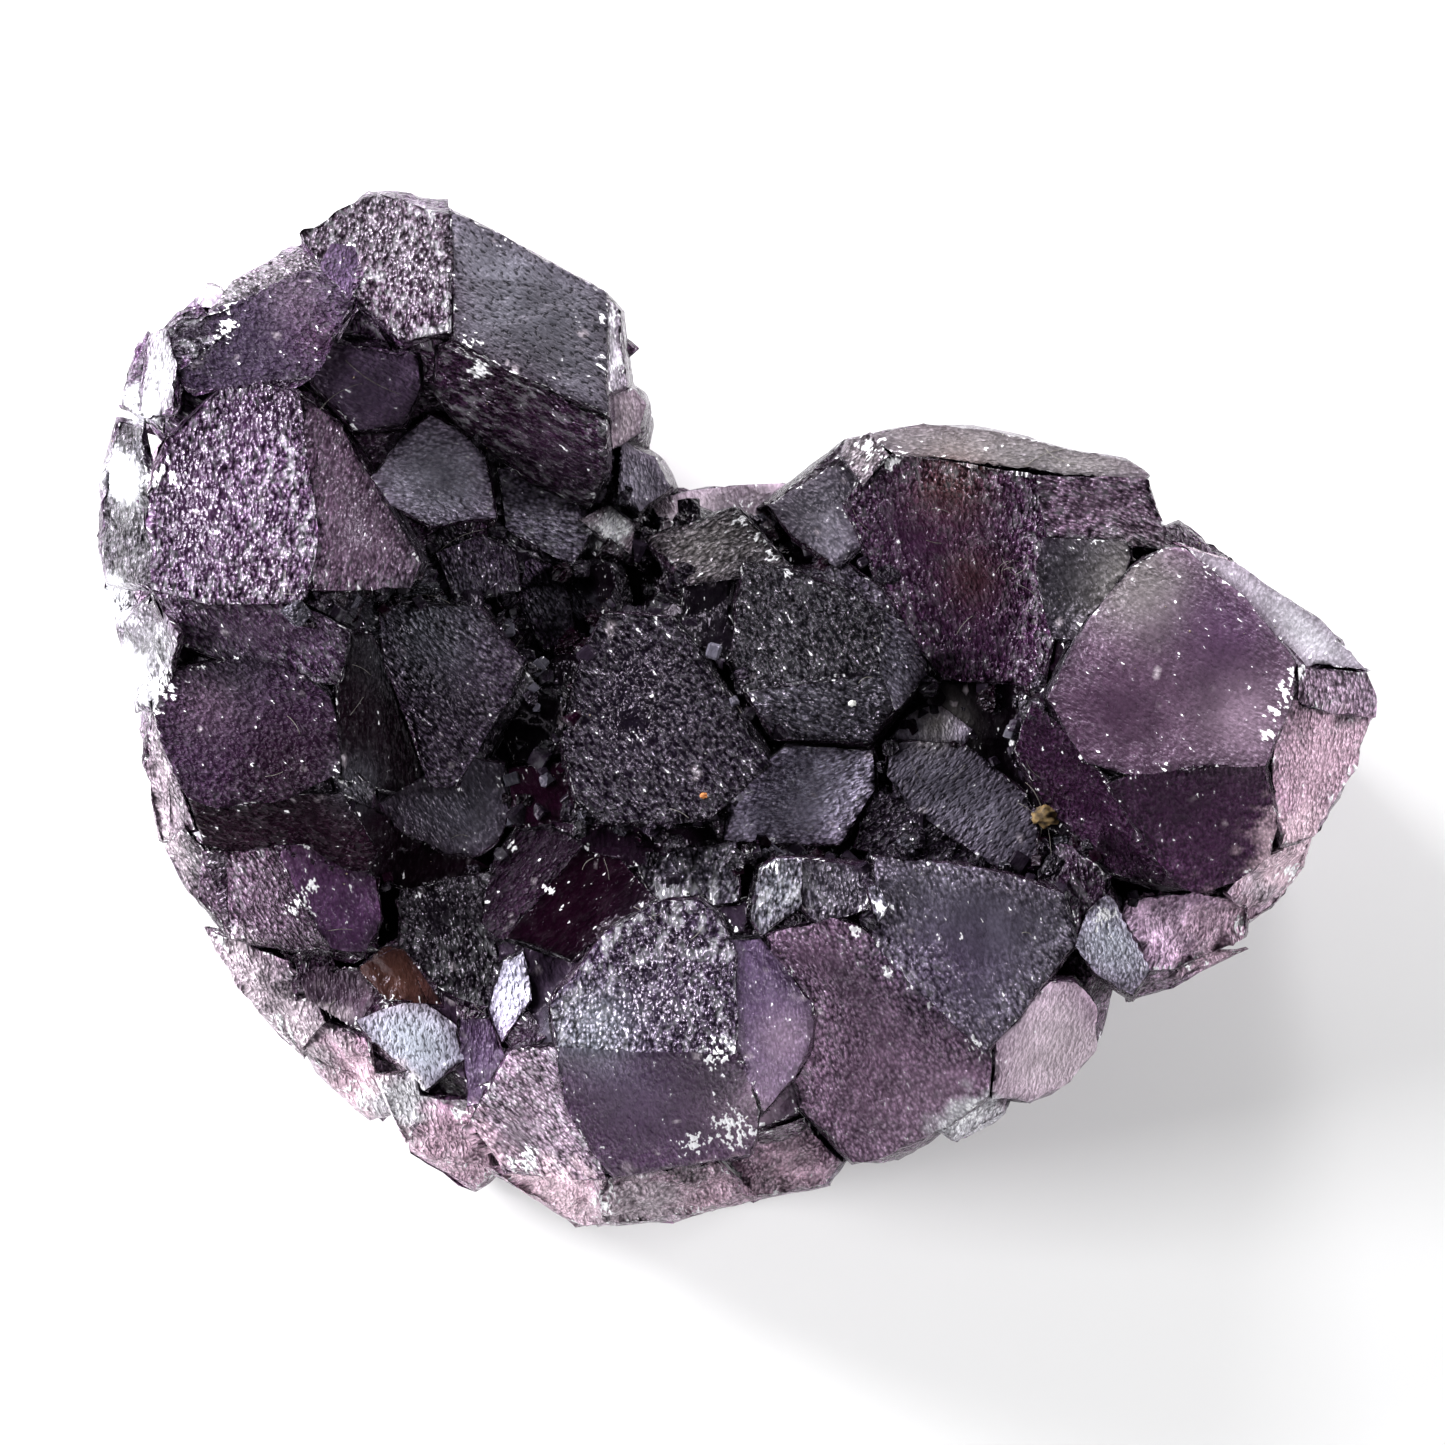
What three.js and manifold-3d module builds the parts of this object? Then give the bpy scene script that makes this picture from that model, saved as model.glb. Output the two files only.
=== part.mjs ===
// A fluorite crystal cluster, grown as one solid and lying on its broken back, crystals up.
// Millimetres, +Z up, +X along the longest side. The origin is the middle of the resting face.
//
// Each large crystal is a convex body with flat faces. It is written by the corners of its upper
// face, seen from above; three of the corners carry the height, and the others lie in their plane.
// From every edge of the face a side falls away steeply to the root. Crystals on the rim have a
// waist, below which they draw in again, as an octahedron does. Small crystals fill the hollows
// and clothe the sides. All of them grow out of one core and are fused into one solid.
import * as THREE from "three";
import { ConvexGeometry } from "three/addons/geometries/ConvexGeometry.js";
import { mergeVertices } from "three/addons/utils/BufferGeometryUtils.js";
import Module from "manifold-3d";

// How far a crystal's side leans out as it falls from the upper face, in degrees
const SIDE_LEAN = 1.5;
const RIM_LEAN = 12; // down to the waist of a crystal on the rim
const UNDER_LEAN = 19.5; // how far such a crystal draws in below its waist

// The waist's depth below the upper face, as a share of the face's size
const WAIST_SHARE = 0.35;
const WAIST_MOST = 3;

const LEVEL = 0; // the height of the resting face, where the broken back is flat
const WELD = 1e-4; // corners closer than this are one corner
const SLIVER = 0.03; // slivers narrower than this are left out of the joined surface

// Small crystals: octahedra, two of whose points are cut off by cube faces
const FACE_SHARE = 1 / Math.sqrt(3); // distance of an octahedron face from the middle, by the radius
const POINT_CUT = 0.7; // distance of a cube face from the middle, by the radius
const SIDE_SPREAD = 1; // how unevenly the crystals on the sides are turned
const HOLLOW_SPREAD = 1.8; // the same in the hollows
const GOLDEN_ANGLE = 2.4;
const UP = new THREE.Vector3(0, 0, 1);
const SEED = 7;

// The left lobe
const leftLobe = {
  frostedFace: [[-22.9, 8.8], [-21.9, 11], [-20, 12.9], [-18.5, 13, 19], [-17, 12.4], [-16.3, 7],
    [-16.6, 4.6, 20.5], [-17.2, 4.3], [-20.5, 4.2], [-22.7, 4.8, 18.2]],
  frostedLower: [[-22.7, 4.7, 18.1], [-17, 4.3, 20.2], [-15, 3.4], [-15.4, 1.2], [-18, 1.4, 17],
    [-21.4, 2.6]],
  frostedRight: [[-16.9, 12.2, 19.5], [-15.2, 11], [-13.4, 8.2], [-12.2, 5.9, 17.2], [-12.6, 5.1],
    [-16.5, 4.8, 20.4]],
  upperFace: [[-22, 13.5], [-21.9, 14.8], [-20.5, 15.7], [-17, 17.3, 18.2], [-14.7, 17.1], [-14.8, 16],
    [-16.3, 13.2, 19.7], [-20, 12.6, 18.6], [-21.3, 12.6]],
  upperBand: [[-20.8, 15.5, 17.6], [-19.9, 16.9], [-18, 17.9], [-15.6, 18.3, 16.4], [-14.6, 17.6],
    [-14.8, 17, 18.6]],
  paleCap: [[-16.2, 17.4], [-15.8, 18.3, 18.4], [-14.6, 18.2, 18.6], [-14.3, 17], [-15, 15.9, 19.6]],
  smallDark: [[-16.3, 14.8, 19.5], [-12.4, 13.9, 18.6], [-12.3, 12.9], [-13, 11.2], [-14.9, 11, 18.2],
    [-16.5, 13]],
  whiteEdge: [[-23, 15, 15.6], [-22.2, 15.1, 17.2], [-21.7, 13.4], [-21.9, 11.9], [-23.4, 12, 15.4]],
  brightCube: [[-21.5, 16, 16.4], [-20.9, 17, 15.9], [-20.4, 16.8], [-20, 15.9, 17]],
  striatedFace: [[-22.3, 15.1, 16.9], [-21, 16.1, 16.9], [-20, 14.8], [-21.9, 13.3, 18]],
  purpleFace: [[-22.9, 0.2, 16.4], [-21.9, 1.9], [-19, 2.4], [-16.8, 1.7], [-15.8, 0.8, 18.2], [-15.4, -1],
    [-15.5, -2.2], [-17.5, -3.3, 17.9], [-20, -3.6], [-21.4, -3.2], [-22.3, -1.6]],
  purpleLower: [[-21.4, -3.2, 16.8], [-15.4, -3, 18], [-14, -5.4], [-14.4, -6.2],
    [-17, -5.8, 15.4], [-20.9, -5.1]],
  redFace: [[-15.4, 3.4], [-14.2, 3.2], [-12.5, -1, 14.4], [-12, -2.6], [-13.4, -3.1], [-15.4, -2.6, 18],
    [-15.6, 1, 18.1]],
  redStrip: [[-15.4, -3, 16.2], [-12, -4.7, 14.2], [-9.6, -6], [-12.8, -6.9], [-14.3, -6.3, 14.6]],
  smallGrey: [[-16, -1.7, 18.2], [-15, -2, 17.6], [-14, -2.9], [-14.2, -3.7, 16.8], [-15.6, -3.1]],
  sparklingFace: [[-21, -5.3], [-18.1, -5.1, 16.2], [-16.7, -7.4], [-15.9, -9.2, 14.6], [-18.2, -9.2],
    [-19.9, -8.9], [-21.2, -7.2, 13.8]],
  smoothFace: [[-18.1, -5, 16.4], [-16.6, -5], [-14.2, -6.3, 15.2], [-13.9, -8], [-14.6, -9.4],
    [-16, -9.1, 15]],
  lowFace: [[-17.4, -9.9, 12.6], [-15, -9.9, 12.8], [-13.9, -10.8], [-15.1, -12.3, 12], [-17, -11.2]],
  brownFace: [[-15, -10, 13], [-13.9, -9.1, 13.9], [-13.2, -9.1], [-11.6, -10.8, 13.6], [-11.5, -11.4],
    [-13.8, -11.2]],
  brightFace: [[-15, -12], [-12.9, -11.3, 14.2], [-12.2, -11.3], [-11, -12.1], [-10.7, -13.6, 13.2],
    [-12.3, -14.8], [-14.2, -13, 12.9]],
};

// The crystal at the top
const topCrystal = {
  greyFace: [[-11.2, 19.7, 19.5], [-5, 16.4], [-4.9, 11.5, 20.6], [-9, 13.3], [-11, 14.5, 21.3]],
  darkLower: [[-11.6, 14.2, 20.6], [-11, 14.4], [-5, 11.4, 20.4], [-5, 9.4], [-5.8, 8.1], [-8, 9, 15],
    [-10.9, 11.4], [-11.8, 12.6]],
  sparklingFace: [[-17, 18.6], [-15, 20, 17.9], [-13.7, 20.3], [-11.1, 19.6, 19.5], [-11.1, 14.7, 21.2],
    [-13, 14.3], [-14.6, 16]],
  brightSide: [[-5.1, 16.3, 18.9], [-4.6, 15.9], [-4.3, 12.8, 17.6], [-5, 12.4, 19.2]],
  notchFace: [[-5, 13, 16.4], [-4, 12.8], [-3.6, 12.3, 15.4], [-3.8, 10.9], [-4.9, 10.3, 16.2]],
  notchGrey: [[-4.6, 10.9, 14.6], [-3, 10, 14], [-2.5, 9], [-3.8, 7.9], [-4.7, 8.6, 15]],
  notchBright: [[-6.2, 7.7, 14.4], [-5, 8.2, 13.8], [-3.9, 7.4], [-4.1, 6.2, 13.6], [-5.4, 6.9]],
};

// The hollow between the lobes
const centre = {
  hexagonFace: [[-5.3, 4, 15.8], [-2.5, 3.9], [-1.6, 2.8], [0, 0.4], [1.4, -1.9, 16.5],
    [-0.9, -4], [-5.2, -4.3, 16.3], [-6.3, -3.4], [-6.9, -1], [-6.2, 2.2]],
  roughUpper: [[0.1, 6, 15], [2.2, 5.8], [4.5, 4.9], [5.8, 4], [5.6, 1.7, 16.5], [0.3, 0.9, 16.4],
    [-0.3, 2.5]],
  roughLower: [[0.4, 0.9, 16.4], [5.6, 1.7, 16.5], [6.2, 0.1], [5.3, -1.2, 15.1], [1.5, -0.9]],
  roughRight: [[5.8, 4, 15.7], [7.3, 3.2], [7.5, 1.4, 14.6], [6.2, 0.1], [5.6, 1.7, 16.5]],
  shadowFace: [[-2.1, 5.9, 13.6], [-0.2, 5.4, 14.6], [-0.2, 2, 14.8], [-2.3, 3]],
  brownTop: [[-3.7, 6.9], [0, 8.2, 13.7], [2.1, 5.7, 14.9], [0, 5.3], [-1.9, 5, 15]],
  rhombus: [[1.1, 8.2], [3.5, 9.9, 13.4], [4.5, 9.9], [5, 6.8, 14.9], [3.9, 5.7], [2.1, 7, 14.6]],
  rhombusPlate: [[1, 8.2, 13.4], [4.4, 11, 12.8], [4.9, 10.6], [4, 9.4, 13.6], [2, 7.9]],
  farRidge: [[-3.4, 8.6, 8.6], [-1.2, 9.1], [1.6, 9.2, 8.4], [3.4, 8.6], [1, 6.4, 9.6], [-3, 6.6]],
  sidePlate: [[2.4, 5.8, 14.2], [4.2, 6, 14.4], [7, 3.9], [6.1, 3.3, 14.6], [4, 4.6]],
  kite: [[-14, 4.5, 16.3], [-10, 4.3], [-8.2, 2.1, 15.9], [-8.8, 0.8], [-11, -2.8, 15.6], [-12, -2.8],
    [-13, -0.2], [-13.9, 2.2]],
  kitePlate: [[-8.4, 2.2, 15.2], [-7.9, 1.2], [-10.6, -3.1, 14.7], [-11.1, -2.8, 15.1]],
  greySmooth: [[-14, -3.4, 15.3], [-10.8, -1.5], [-9.1, -1.9, 14.9], [-9, -3.6], [-9.4, -5],
    [-10.2, -5.6, 14.4], [-11.4, -5.6], [-13.5, -4.3]],
  ledgeA: [[-14.6, 8.7], [-13, 11, 16.9], [-12, 11.8], [-10.9, 11.3], [-9.8, 10, 16.1], [-9.4, 7.7],
    [-12, 7.3, 15.2]],
  ledgeB: [[-9.4, 9.7, 15.1], [-7.9, 9.9], [-6.6, 8.9], [-5.6, 7.2, 14], [-6.5, 5.8], [-9, 7.2, 14.8]],
  ledgeC: [[-11.9, 6.3, 15.2], [-10, 7.1], [-8.7, 6.5, 14.6], [-8.5, 4.9], [-11, 4.4, 15.4]],
  blockA: [[-8.3, 6.3, 13.6], [-6.9, 5.7], [-6.2, 2.5, 13], [-7.6, 2.5], [-8.7, 4.2, 13.4]],
  blockB: [[-8.1, 1.6, 12.2], [-6.7, 1.9], [-6.9, -1.6, 12.8], [-8.8, -1.9, 12.6], [-9.2, -0.5]],
  blockC: [[-9, -2.1, 13.2], [-6.8, -1.9, 12.9], [-6.2, -3.9], [-7.5, -4.5], [-8.9, -4.4, 13]],
  grooveFace: [[-7.3, -4.2, 13.6], [-1, -4.4, 13.4], [-0.6, -5.6], [-4, -6], [-6.4, -5.8, 14]],
  slabA: [[1.4, -1.6], [2, -1.1, 15], [5.3, -1.3], [5.4, -3, 14.4], [4, -5.1], [-0.6, -5, 14.2],
    [-0.3, -3.3]],
  paleCube: [[7.9, 0.6, 12.6], [9.2, -0.5, 12.8], [8.9, -1.3], [6, -0.9, 13.6], [6.8, 0.2]],
  brownSlab: [[6, -1, 15], [8.9, -1.1], [11.4, -3, 14.3], [11.8, -4.4], [11.9, -6], [10, -6, 14.1],
    [6.8, -3.6], [5.9, -2.4]],
  stepBand: [[5.3, -2.9, 13.2], [6.8, -3.4], [10.2, -5.8, 13], [8, -6.2], [4.6, -5.2, 13.6]],
};

// The right lobe
const rightLobe = {
  bevel: [[5, 10.9], [7.4, 11.4], [9.2, 11.2, 17], [15.2, 10], [16.1, 9.4, 17.8], [15.8, 9],
    [6.2, 10.1, 18.4]],
  bevelLeft: [[4.3, 10.9, 16.2], [5.2, 11, 17.2], [6, 10.1], [4.9, 8.9, 17.8], [4, 10.2]],
  purpleFace: [[5.9, 10.2, 18.3], [11.6, 9.2], [12.2, 7, 18], [12.4, 3], [11.9, 1.1], [8, 1.3, 14.4],
    [6.8, 3], [4.1, 8.2], [4.9, 9.3]],
  darkRight: [[11.4, 9.3, 18.9], [16, 9.1, 18.2], [16.7, 6.9], [16.5, 6.4], [12, 6.9, 18.1]],
  greyCube: [[11.8, 6.9, 18.2], [15.1, 6.8, 17.8], [15.3, 6.1], [14.2, 3.2], [13.6, 2.9], [12.3, 3, 17.2],
    [11.6, 5.4]],
  bigFace: [[15.3, 5.8], [16.5, 6.6, 17.6], [17.4, 6.5], [19.8, 4.6], [21.8, 2], [21.6, 0.4],
    [20.5, -2, 19.9], [15, -2.3], [13.5, -1.9, 20.1], [12.8, -0.9], [12, 0.8], [13.2, 3.2]],
  bigLower: [[14.3, -2.6], [15.2, -2.3, 20.1], [18, -1.9], [20.5, -2, 19.8], [21.1, -4], [20.8, -5.5],
    [19.5, -6.6], [17.9, -7, 15.6], [16.8, -6.4]],
  bigLeft: [[11.4, 0.6], [12.9, -0.9, 19.7], [14.4, -2.6], [18, -7, 15.6], [14.6, -6.3], [12.4, -3.8, 14.3],
    [10.8, -1.3]],
  whiteFace: [[17.4, 6.6, 17.2], [19.2, 6.1], [22.4, 4, 16.6], [24.6, 1.8], [21.6, 2, 18.6]],
  cornerFace: [[21.8, 2, 18.5], [24.6, 1.7], [25, 0.6, 16.8], [24.9, -0.1], [21.8, 0.5, 18.3]],
  lilacFace: [[21.4, 0.7, 18.5], [24.9, 0], [24.4, -1.3, 14.8], [22.6, -4.8], [21.2, -5.2, 16], [20.7, -2]],
  lilacFoot: [[15.2, -7.2], [18, -7, 13.4], [20.1, -7.5], [20, -8.9, 11.6], [17.4, -10], [16.2, -10],
    [15.1, -8.2, 13]],
};

// The front
const front = {
  darkRough: [[-13.2, -6.9, 14.6], [-11.5, -6.5], [-9.5, -6.1, 14.5], [-9.3, -10.4], [-10, -11.8, 13.2],
    [-11.6, -10.9], [-13.3, -9.1]],
  ridgeLeft: [[-9.5, -5.7, 14.3], [-8.7, -4.4], [-7.4, -4.3], [-6, -5.1, 15.8], [-9.2, -8.9, 15.4],
    [-10, -8.2]],
  ridgeRight: [[-6.2, -5.2, 15.8], [-4.6, -5.6], [-3.2, -7.2], [-4.6, -8.2, 14], [-6.6, -9.6],
    [-9.1, -8.7, 15.3]],
  brightLeaf: [[-9.2, -9.6], [-8.4, -9.1, 15.4], [-8.1, -11.2, 15], [-9.2, -12.9], [-9.8, -11.4, 14.2]],
  smallRough: [[-3.9, -6, 14.4], [-2.4, -5.3], [0, -5, 14.8], [0, -7.4], [-1.6, -7.5, 15], [-3.3, -7.2]],
  noseFace: [[-7.3, -11.1], [-5, -8.3], [-3, -7.2, 16.6], [-1.5, -7], [-0.6, -7.9], [0, -9],
    [0, -13.1, 19.3], [-7.1, -13, 19]],
  noseRight: [[-0.3, -8.7, 17.3], [0.9, -8.6], [2.9, -11.2, 16.2], [2.8, -13.2], [2.2, -14.2], [1, -15.4],
    [-0.1, -13.1, 19.2]],
  noseLower: [[-7.1, -13, 19], [0, -13.1, 19.2], [0.9, -15.5], [0.6, -17.3], [-4.9, -18.1, 14.3],
    [-5.8, -16.9], [-6.8, -15]],
  lilacSlope: [[-9, -13], [-7, -12.9, 17.4], [-5.1, -18.2, 13.8], [-9.3, -18.1],
    [-10.6, -16.2, 12.4]],
  lilacSmall: [[-10.9, -11.9, 13.8], [-9.7, -11.9], [-8.9, -13.6, 14.2], [-9.2, -15.1],
    [-10.6, -15.4, 12.8]],
  longFace: [[1.1, -8.5, 16.7], [3.7, -7.8], [4.9, -8.3], [9.9, -13.2, 14.5], [9.9, -15], [8, -16.3],
    [5.7, -17.5], [4.4, -17.6, 12.2], [2.4, -15.6]],
  brightScale: [[0.7, -6, 15.6], [1.5, -5.5, 16], [2.5, -5.5], [2.5, -7.4, 17], [0.9, -8.6], [0.4, -7.9]],
  scaleRight: [[2.4, -5.5, 16.2], [4.9, -5.8, 15.9], [5.1, -7.5], [3, -8.2, 17], [2.4, -7.5]],
  brightSliver: [[4.9, -6.6, 17.2], [5.5, -6.6, 17.5], [5.9, -7.5], [5.4, -8.2, 17]],
  bigRough: [[5.3, -5.5, 17.4], [8.5, -5.8], [12.9, -6.9, 17], [13.3, -8.8], [11.5, -11.2],
    [9.6, -13.3, 15.5], [5.2, -8.9]],
  brightWing: [[13.7, -7.6], [14.6, -6.8, 15.4], [16.3, -9.9, 13.2], [15.6, -11.2], [14, -10],
    [13.2, -8.9, 14.6]],
  wingShade: [[11.9, -4.8, 14], [12.9, -5], [14.6, -6.3, 14.6], [14.4, -7.2], [13.2, -8.6, 13.6],
    [12.2, -7]],
  paleCrystal: [[10.1, -12.8, 13.4], [12.3, -10.3, 14], [13.2, -10.3], [14.1, -11.4], [14.2, -13.2, 11.4],
    [13, -14.6], [11.5, -15.4], [10, -15.1]],
};

// The rim, where small paler crystals and broken ledges face outwards
const rim = {
  leftWhite: [[-23.3, 11.4], [-22.8, 9.2, 17], [-22.7, 4.9, 17.6], [-24.6, 5.1], [-24.9, 6.8, 13.6],
    [-24.6, 10], [-24.1, 11.6]],
  leftUpper: [[-24.2, 12.2, 13.6], [-23.8, 13.5], [-23, 15, 14.8], [-22.4, 14.4], [-22.4, 11.2, 16.2]],
  leftLower: [[-22.6, 4.7, 16.4], [-21.6, 3.2], [-22.6, 0.2, 16], [-23.6, 0.2], [-24.4, 3.8, 12.4]],
  leftFoot: [[-23, 0.2], [-22.2, -1.6, 15.6], [-21.2, -4.4, 15.4], [-22.6, -5, 12], [-23.3, -1.8]],
  leftToe: [[-21.6, -4.2, 15], [-20.9, -5.4, 14.6], [-21, -7.6], [-21.7, -6.8, 11.6], [-22.5, -5.2]],
  cornerLilac: [[-20.6, -8.6, 12], [-17.6, -9.6, 12.4], [-16.2, -12, 11], [-17.2, -13.4], [-18.8, -11.6]],
  cornerLow: [[-17.6, -11.6, 10.6], [-14.4, -12.8, 11.4], [-13.6, -15.6], [-14.6, -16, 7.6],
    [-16.6, -14.2]],
  whiteBroken: [[-14.2, -14.2, 11.6], [-12.8, -14, 12], [-12.2, -15.8], [-13.1, -16.9, 9.6]],
  lilacApron: [[-12.8, -15, 11.4], [-10.4, -15.2, 11.8], [-9.6, -18.2], [-10.4, -18.8, 8], [-12.9, -17.3]],
  pinkCrumb: [[-9.6, -17.9, 11.2], [-5, -18, 12.4], [-5.6, -20.2], [-6.4, -20.3, 7.6], [-8.2, -19]],
  ledge: [[-5.6, -17.9], [-0.8, -17.6, 12.8], [0.6, -18.9], [-2.6, -19.9, 9.4], [-5.4, -20.2, 9]],
  ledgeRight: [[-0.6, -17, 11.6], [2.5, -16, 12.4], [4.2, -17.6], [3.6, -18.5, 9.4], [0.6, -19]],
  whiteBits: [[7.9, -16.3, 11.4], [8.9, -15, 12], [10.8, -15.1], [10.6, -15.7, 10.6], [8.6, -16.8]],
  wingFoot: [[14.8, -10.2], [16.8, -9.6, 11], [19.8, -9.4], [17.8, -10.4, 8.6], [15.5, -11.3, 8.4]],
  lilacHem: [[20.6, -5.6, 14.4], [22.5, -4.9, 12.8], [22.2, -6], [21.1, -7.5, 10.8], [20, -8.2],
    [19.2, -7]],
  farDruse: [[16.2, 6.2], [16.8, 7.3, 12.8], [17.4, 7.6], [20.4, 5.4, 11.6], [19.6, 4.2, 13.4]],
};

// The lobes, inside which every crystal stays: outlines at their widest, each corner with the height
// where the lobe is widest there. Below that the broken underside draws in towards the foot.
const lobes = [
  [[-13.8, 20.8, 15], [-17.6, 18.9, 14], [-21.2, 17.2, 13], [-23.4, 15.1, 13], [-24.6, 12, 13],
    [-25.2, 7, 13], [-24.5, 2.4, 12], [-23.4, -2.6, 12], [-22.4, -6, 11], [-19.2, -11.4, 9],
    [-15.2, -15.8, 8], [-12.2, -18.4, 8], [-8.4, -20.2, 8], [-5.8, -20.7, 8], [3.6, -18.9, 8],
    [8, -12, 10], [3, 6, 10], [-1, 9.4, 10], [-3.7, 12.9, 13], [-4.3, 16.2, 14], [-10.8, 20.1, 15]],
  [[-3.4, 9.2, 9], [1.4, 9.6, 9], [4.8, 11.3, 13], [8.4, 11.7, 14], [15.6, 10.2, 14], [20.6, 6, 12],
    [24.9, 2.2, 13], [25.3, 0.5, 13], [24.6, -1.6, 13], [22.6, -5.4, 12], [20, -9.4, 10], [14.3, -13.7, 10],
    [11.8, -15.8, 10], [8.8, -17.2, 9], [4, -18.9, 8], [-4, -18, 8], [-8, -4, 9]],
];
// The size of a lobe's underside, as shares of its widest outline, at its foot and halfway up
const FOOT_SHARE = 0.68;
const HALFWAY = { share: 0.85, z: 6.5 };
const SKY = 40; // above every crystal

// The core that the crystals stand on: outlines on the plan, with the height of the shoulder
const core = [
  { shoulder: 13, outline: [[-22, 6], [-21.4, 12.6], [-17, 15.4], [-12.6, 9], [-12.6, -4], [-14.6, -9.6],
    [-18, -10.2], [-20.2, -7.6], [-21.4, -1]] },
  { shoulder: 13, outline: [[-17.4, 14.6], [-14, 17], [-11, 16.8], [-7, 14], [-6.2, 9.2], [-6, 4.6],
    [-16, 2.6]] },
  { shoulder: 10, outline: [[-17, 8], [-6, 8.4], [3, 7.6], [9, 8.6], [16, 4], [17, -6], [8, -14.6],
    [-8, -15.8], [-17, -11], [-19, -3]] },
  { shoulder: 12.5, outline: [[5, 7.4], [9, 8.6], [15, 7.6], [21, 2], [21.2, -1.6], [19, -4.8],
    [15, -6.4], [8, -4]] },
  { shoulder: 11.5, outline: [[-10.6, -7], [11, -6], [11.4, -11], [7, -14.6], [1.4, -16.8], [-6, -17],
    [-11.6, -15], [-15.4, -11.6]] },
];
const CORE_SHOULDER = 0.86; // the size of the core's shoulder, as a share of its outline

// Hollows whose floors carry small crystals
const hollows = [
  { x: -9.5, y: 3.5, reach: 4.4, z: 11.8, count: 9, radius: 1.8 },
  { x: -3, y: 5.6, reach: 2.4, z: 11, count: 4, radius: 1.5 },
  { x: -4, y: -5.2, reach: 3, z: 12, count: 4, radius: 1.5 },
  { x: 9.6, y: 0.6, reach: 2.4, z: 10.6, count: 4, radius: 1.6 },
  { x: 12.4, y: -5.4, reach: 2, z: 12, count: 3, radius: 1.4 },
  { x: 1, y: -6, reach: 3, z: 13, count: 4, radius: 1.5 },
  { x: -14, y: -9.6, reach: 3, z: 11.8, count: 5, radius: 1.6 },
  { x: -9.4, y: -12.4, reach: 2, z: 12, count: 3, radius: 1.4 },
];

// The cluster's edge seen from above, with the height that the crystals on its sides reach there,
// and the rows of these crystals: how far each lies below that height and inside the edge
const sideEdge = [[-24.6, 8, 12], [-22.6, 14.4, 13], [-18, 17.4, 14], [-13.6, 19.4, 15], [-5.6, 15.4, 15],
  [-4.6, 10, 11], [0, 8.4, 8], [4.6, 10, 12], [9, 10.4, 14], [14.8, 8.4, 13], [18.6, 4.8, 12],
  [24.2, 0.8, 13], [22.4, -5, 11], [19.8, -7.8, 9], [16.4, -9.2, 8], [13.6, -12.6, 9], [8.6, -15.8, 8.4],
  [-2, -18.8, 7], [-7, -19.2, 6], [-12, -17.2, 6.4], [-17, -13, 8], [-21, -7.4, 11], [-23.6, 0, 12]];
const sideRows = [
  { drop: 2.6, rise: 0.1, inset: 0.2, spacing: 6.2, radius: 4.2 },
  { drop: 7, rise: -0.3, inset: 1.2, spacing: 6.4, radius: 5 },
  { drop: 11.6, rise: -0.5, inset: 2.8, spacing: 7.2, radius: 5.4 },
];

const wasm = await Module();
wasm.setup();

// A closed geometry as a solid that can be joined and cut.
function solidOf(geometry) {
  geometry.deleteAttribute("normal");
  geometry.deleteAttribute("uv");
  const merged = mergeVertices(geometry, WELD);
  return new wasm.Manifold(
    new wasm.Mesh({
      numProp: 3,
      vertProperties: merged.attributes.position.array,
      triVerts: new Uint32Array(merged.index.array),
    }),
  );
}

// A solid's surface as a geometry.
function geometryOf(solid) {
  const mesh = solid.getMesh();
  const points = new Float32Array(mesh.numVert * 3);
  for (let i = 0; i < mesh.numVert; i++) {
    points.set(mesh.vertProperties.subarray(i * mesh.numProp, i * mesh.numProp + 3), i * 3);
  }
  const geometry = new THREE.BufferGeometry();
  geometry.setAttribute("position", new THREE.BufferAttribute(points, 3));
  geometry.setIndex(new THREE.BufferAttribute(mesh.triVerts, 1));
  return geometry;
}

// The convex body behind all of the planes, whose normals point outwards.
function convexBody(planes) {
  const corners = [];
  const rows = new THREE.Matrix3();
  for (let i = 0; i < planes.length; i++) {
    for (let j = i + 1; j < planes.length; j++) {
      for (let k = j + 1; k < planes.length; k++) {
        const three = [planes[i], planes[j], planes[k]];
        rows.set(...three.flatMap((plane) => plane.normal.toArray()));
        if (Math.abs(rows.determinant()) < 1e-5) continue;
        const offsets = three.map((plane) => -plane.constant);
        const corner = new THREE.Vector3(...offsets).applyMatrix3(rows.invert());
        if (planes.some((plane) => plane.distanceToPoint(corner) > 1e-5)) continue;
        if (corners.some((other) => other.distanceTo(corner) < 1e-3)) continue;
        corners.push(corner);
      }
    }
  }
  return solidOf(new ConvexGeometry(corners));
}

function planeAt(point, normal) {
  return new THREE.Plane().setFromNormalAndCoplanarPoint(normal.clone().normalize(), point);
}

// The face's corners as points, counter-clockwise seen from above, with the missing heights filled
// in, its normal and its size.
function faceOf(corners) {
  const area = THREE.ShapeUtils.area(corners.map(([x, y]) => new THREE.Vector2(x, y)));
  const ordered = area > 0 ? corners : [...corners].reverse();
  const withHeight = ordered.filter((corner) => corner.length === 3);
  const plane = new THREE.Plane()
    .setFromCoplanarPoints(...withHeight.map((corner) => new THREE.Vector3(...corner)));
  const { x: a, y: b, z: c } = plane.normal;
  const points = ordered.map(([x, y]) => new THREE.Vector3(x, y, -(a * x + b * y + plane.constant) / c));
  return { points, up: plane.normal.clone().multiplyScalar(Math.sign(c)), size: Math.sqrt(Math.abs(area)) };
}

// The way down that leans out from upright by some degrees.
function wayDown(out, lean) {
  const angle = THREE.MathUtils.degToRad(lean);
  return out.clone().multiplyScalar(Math.sin(angle)).setZ(-Math.cos(angle));
}

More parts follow.
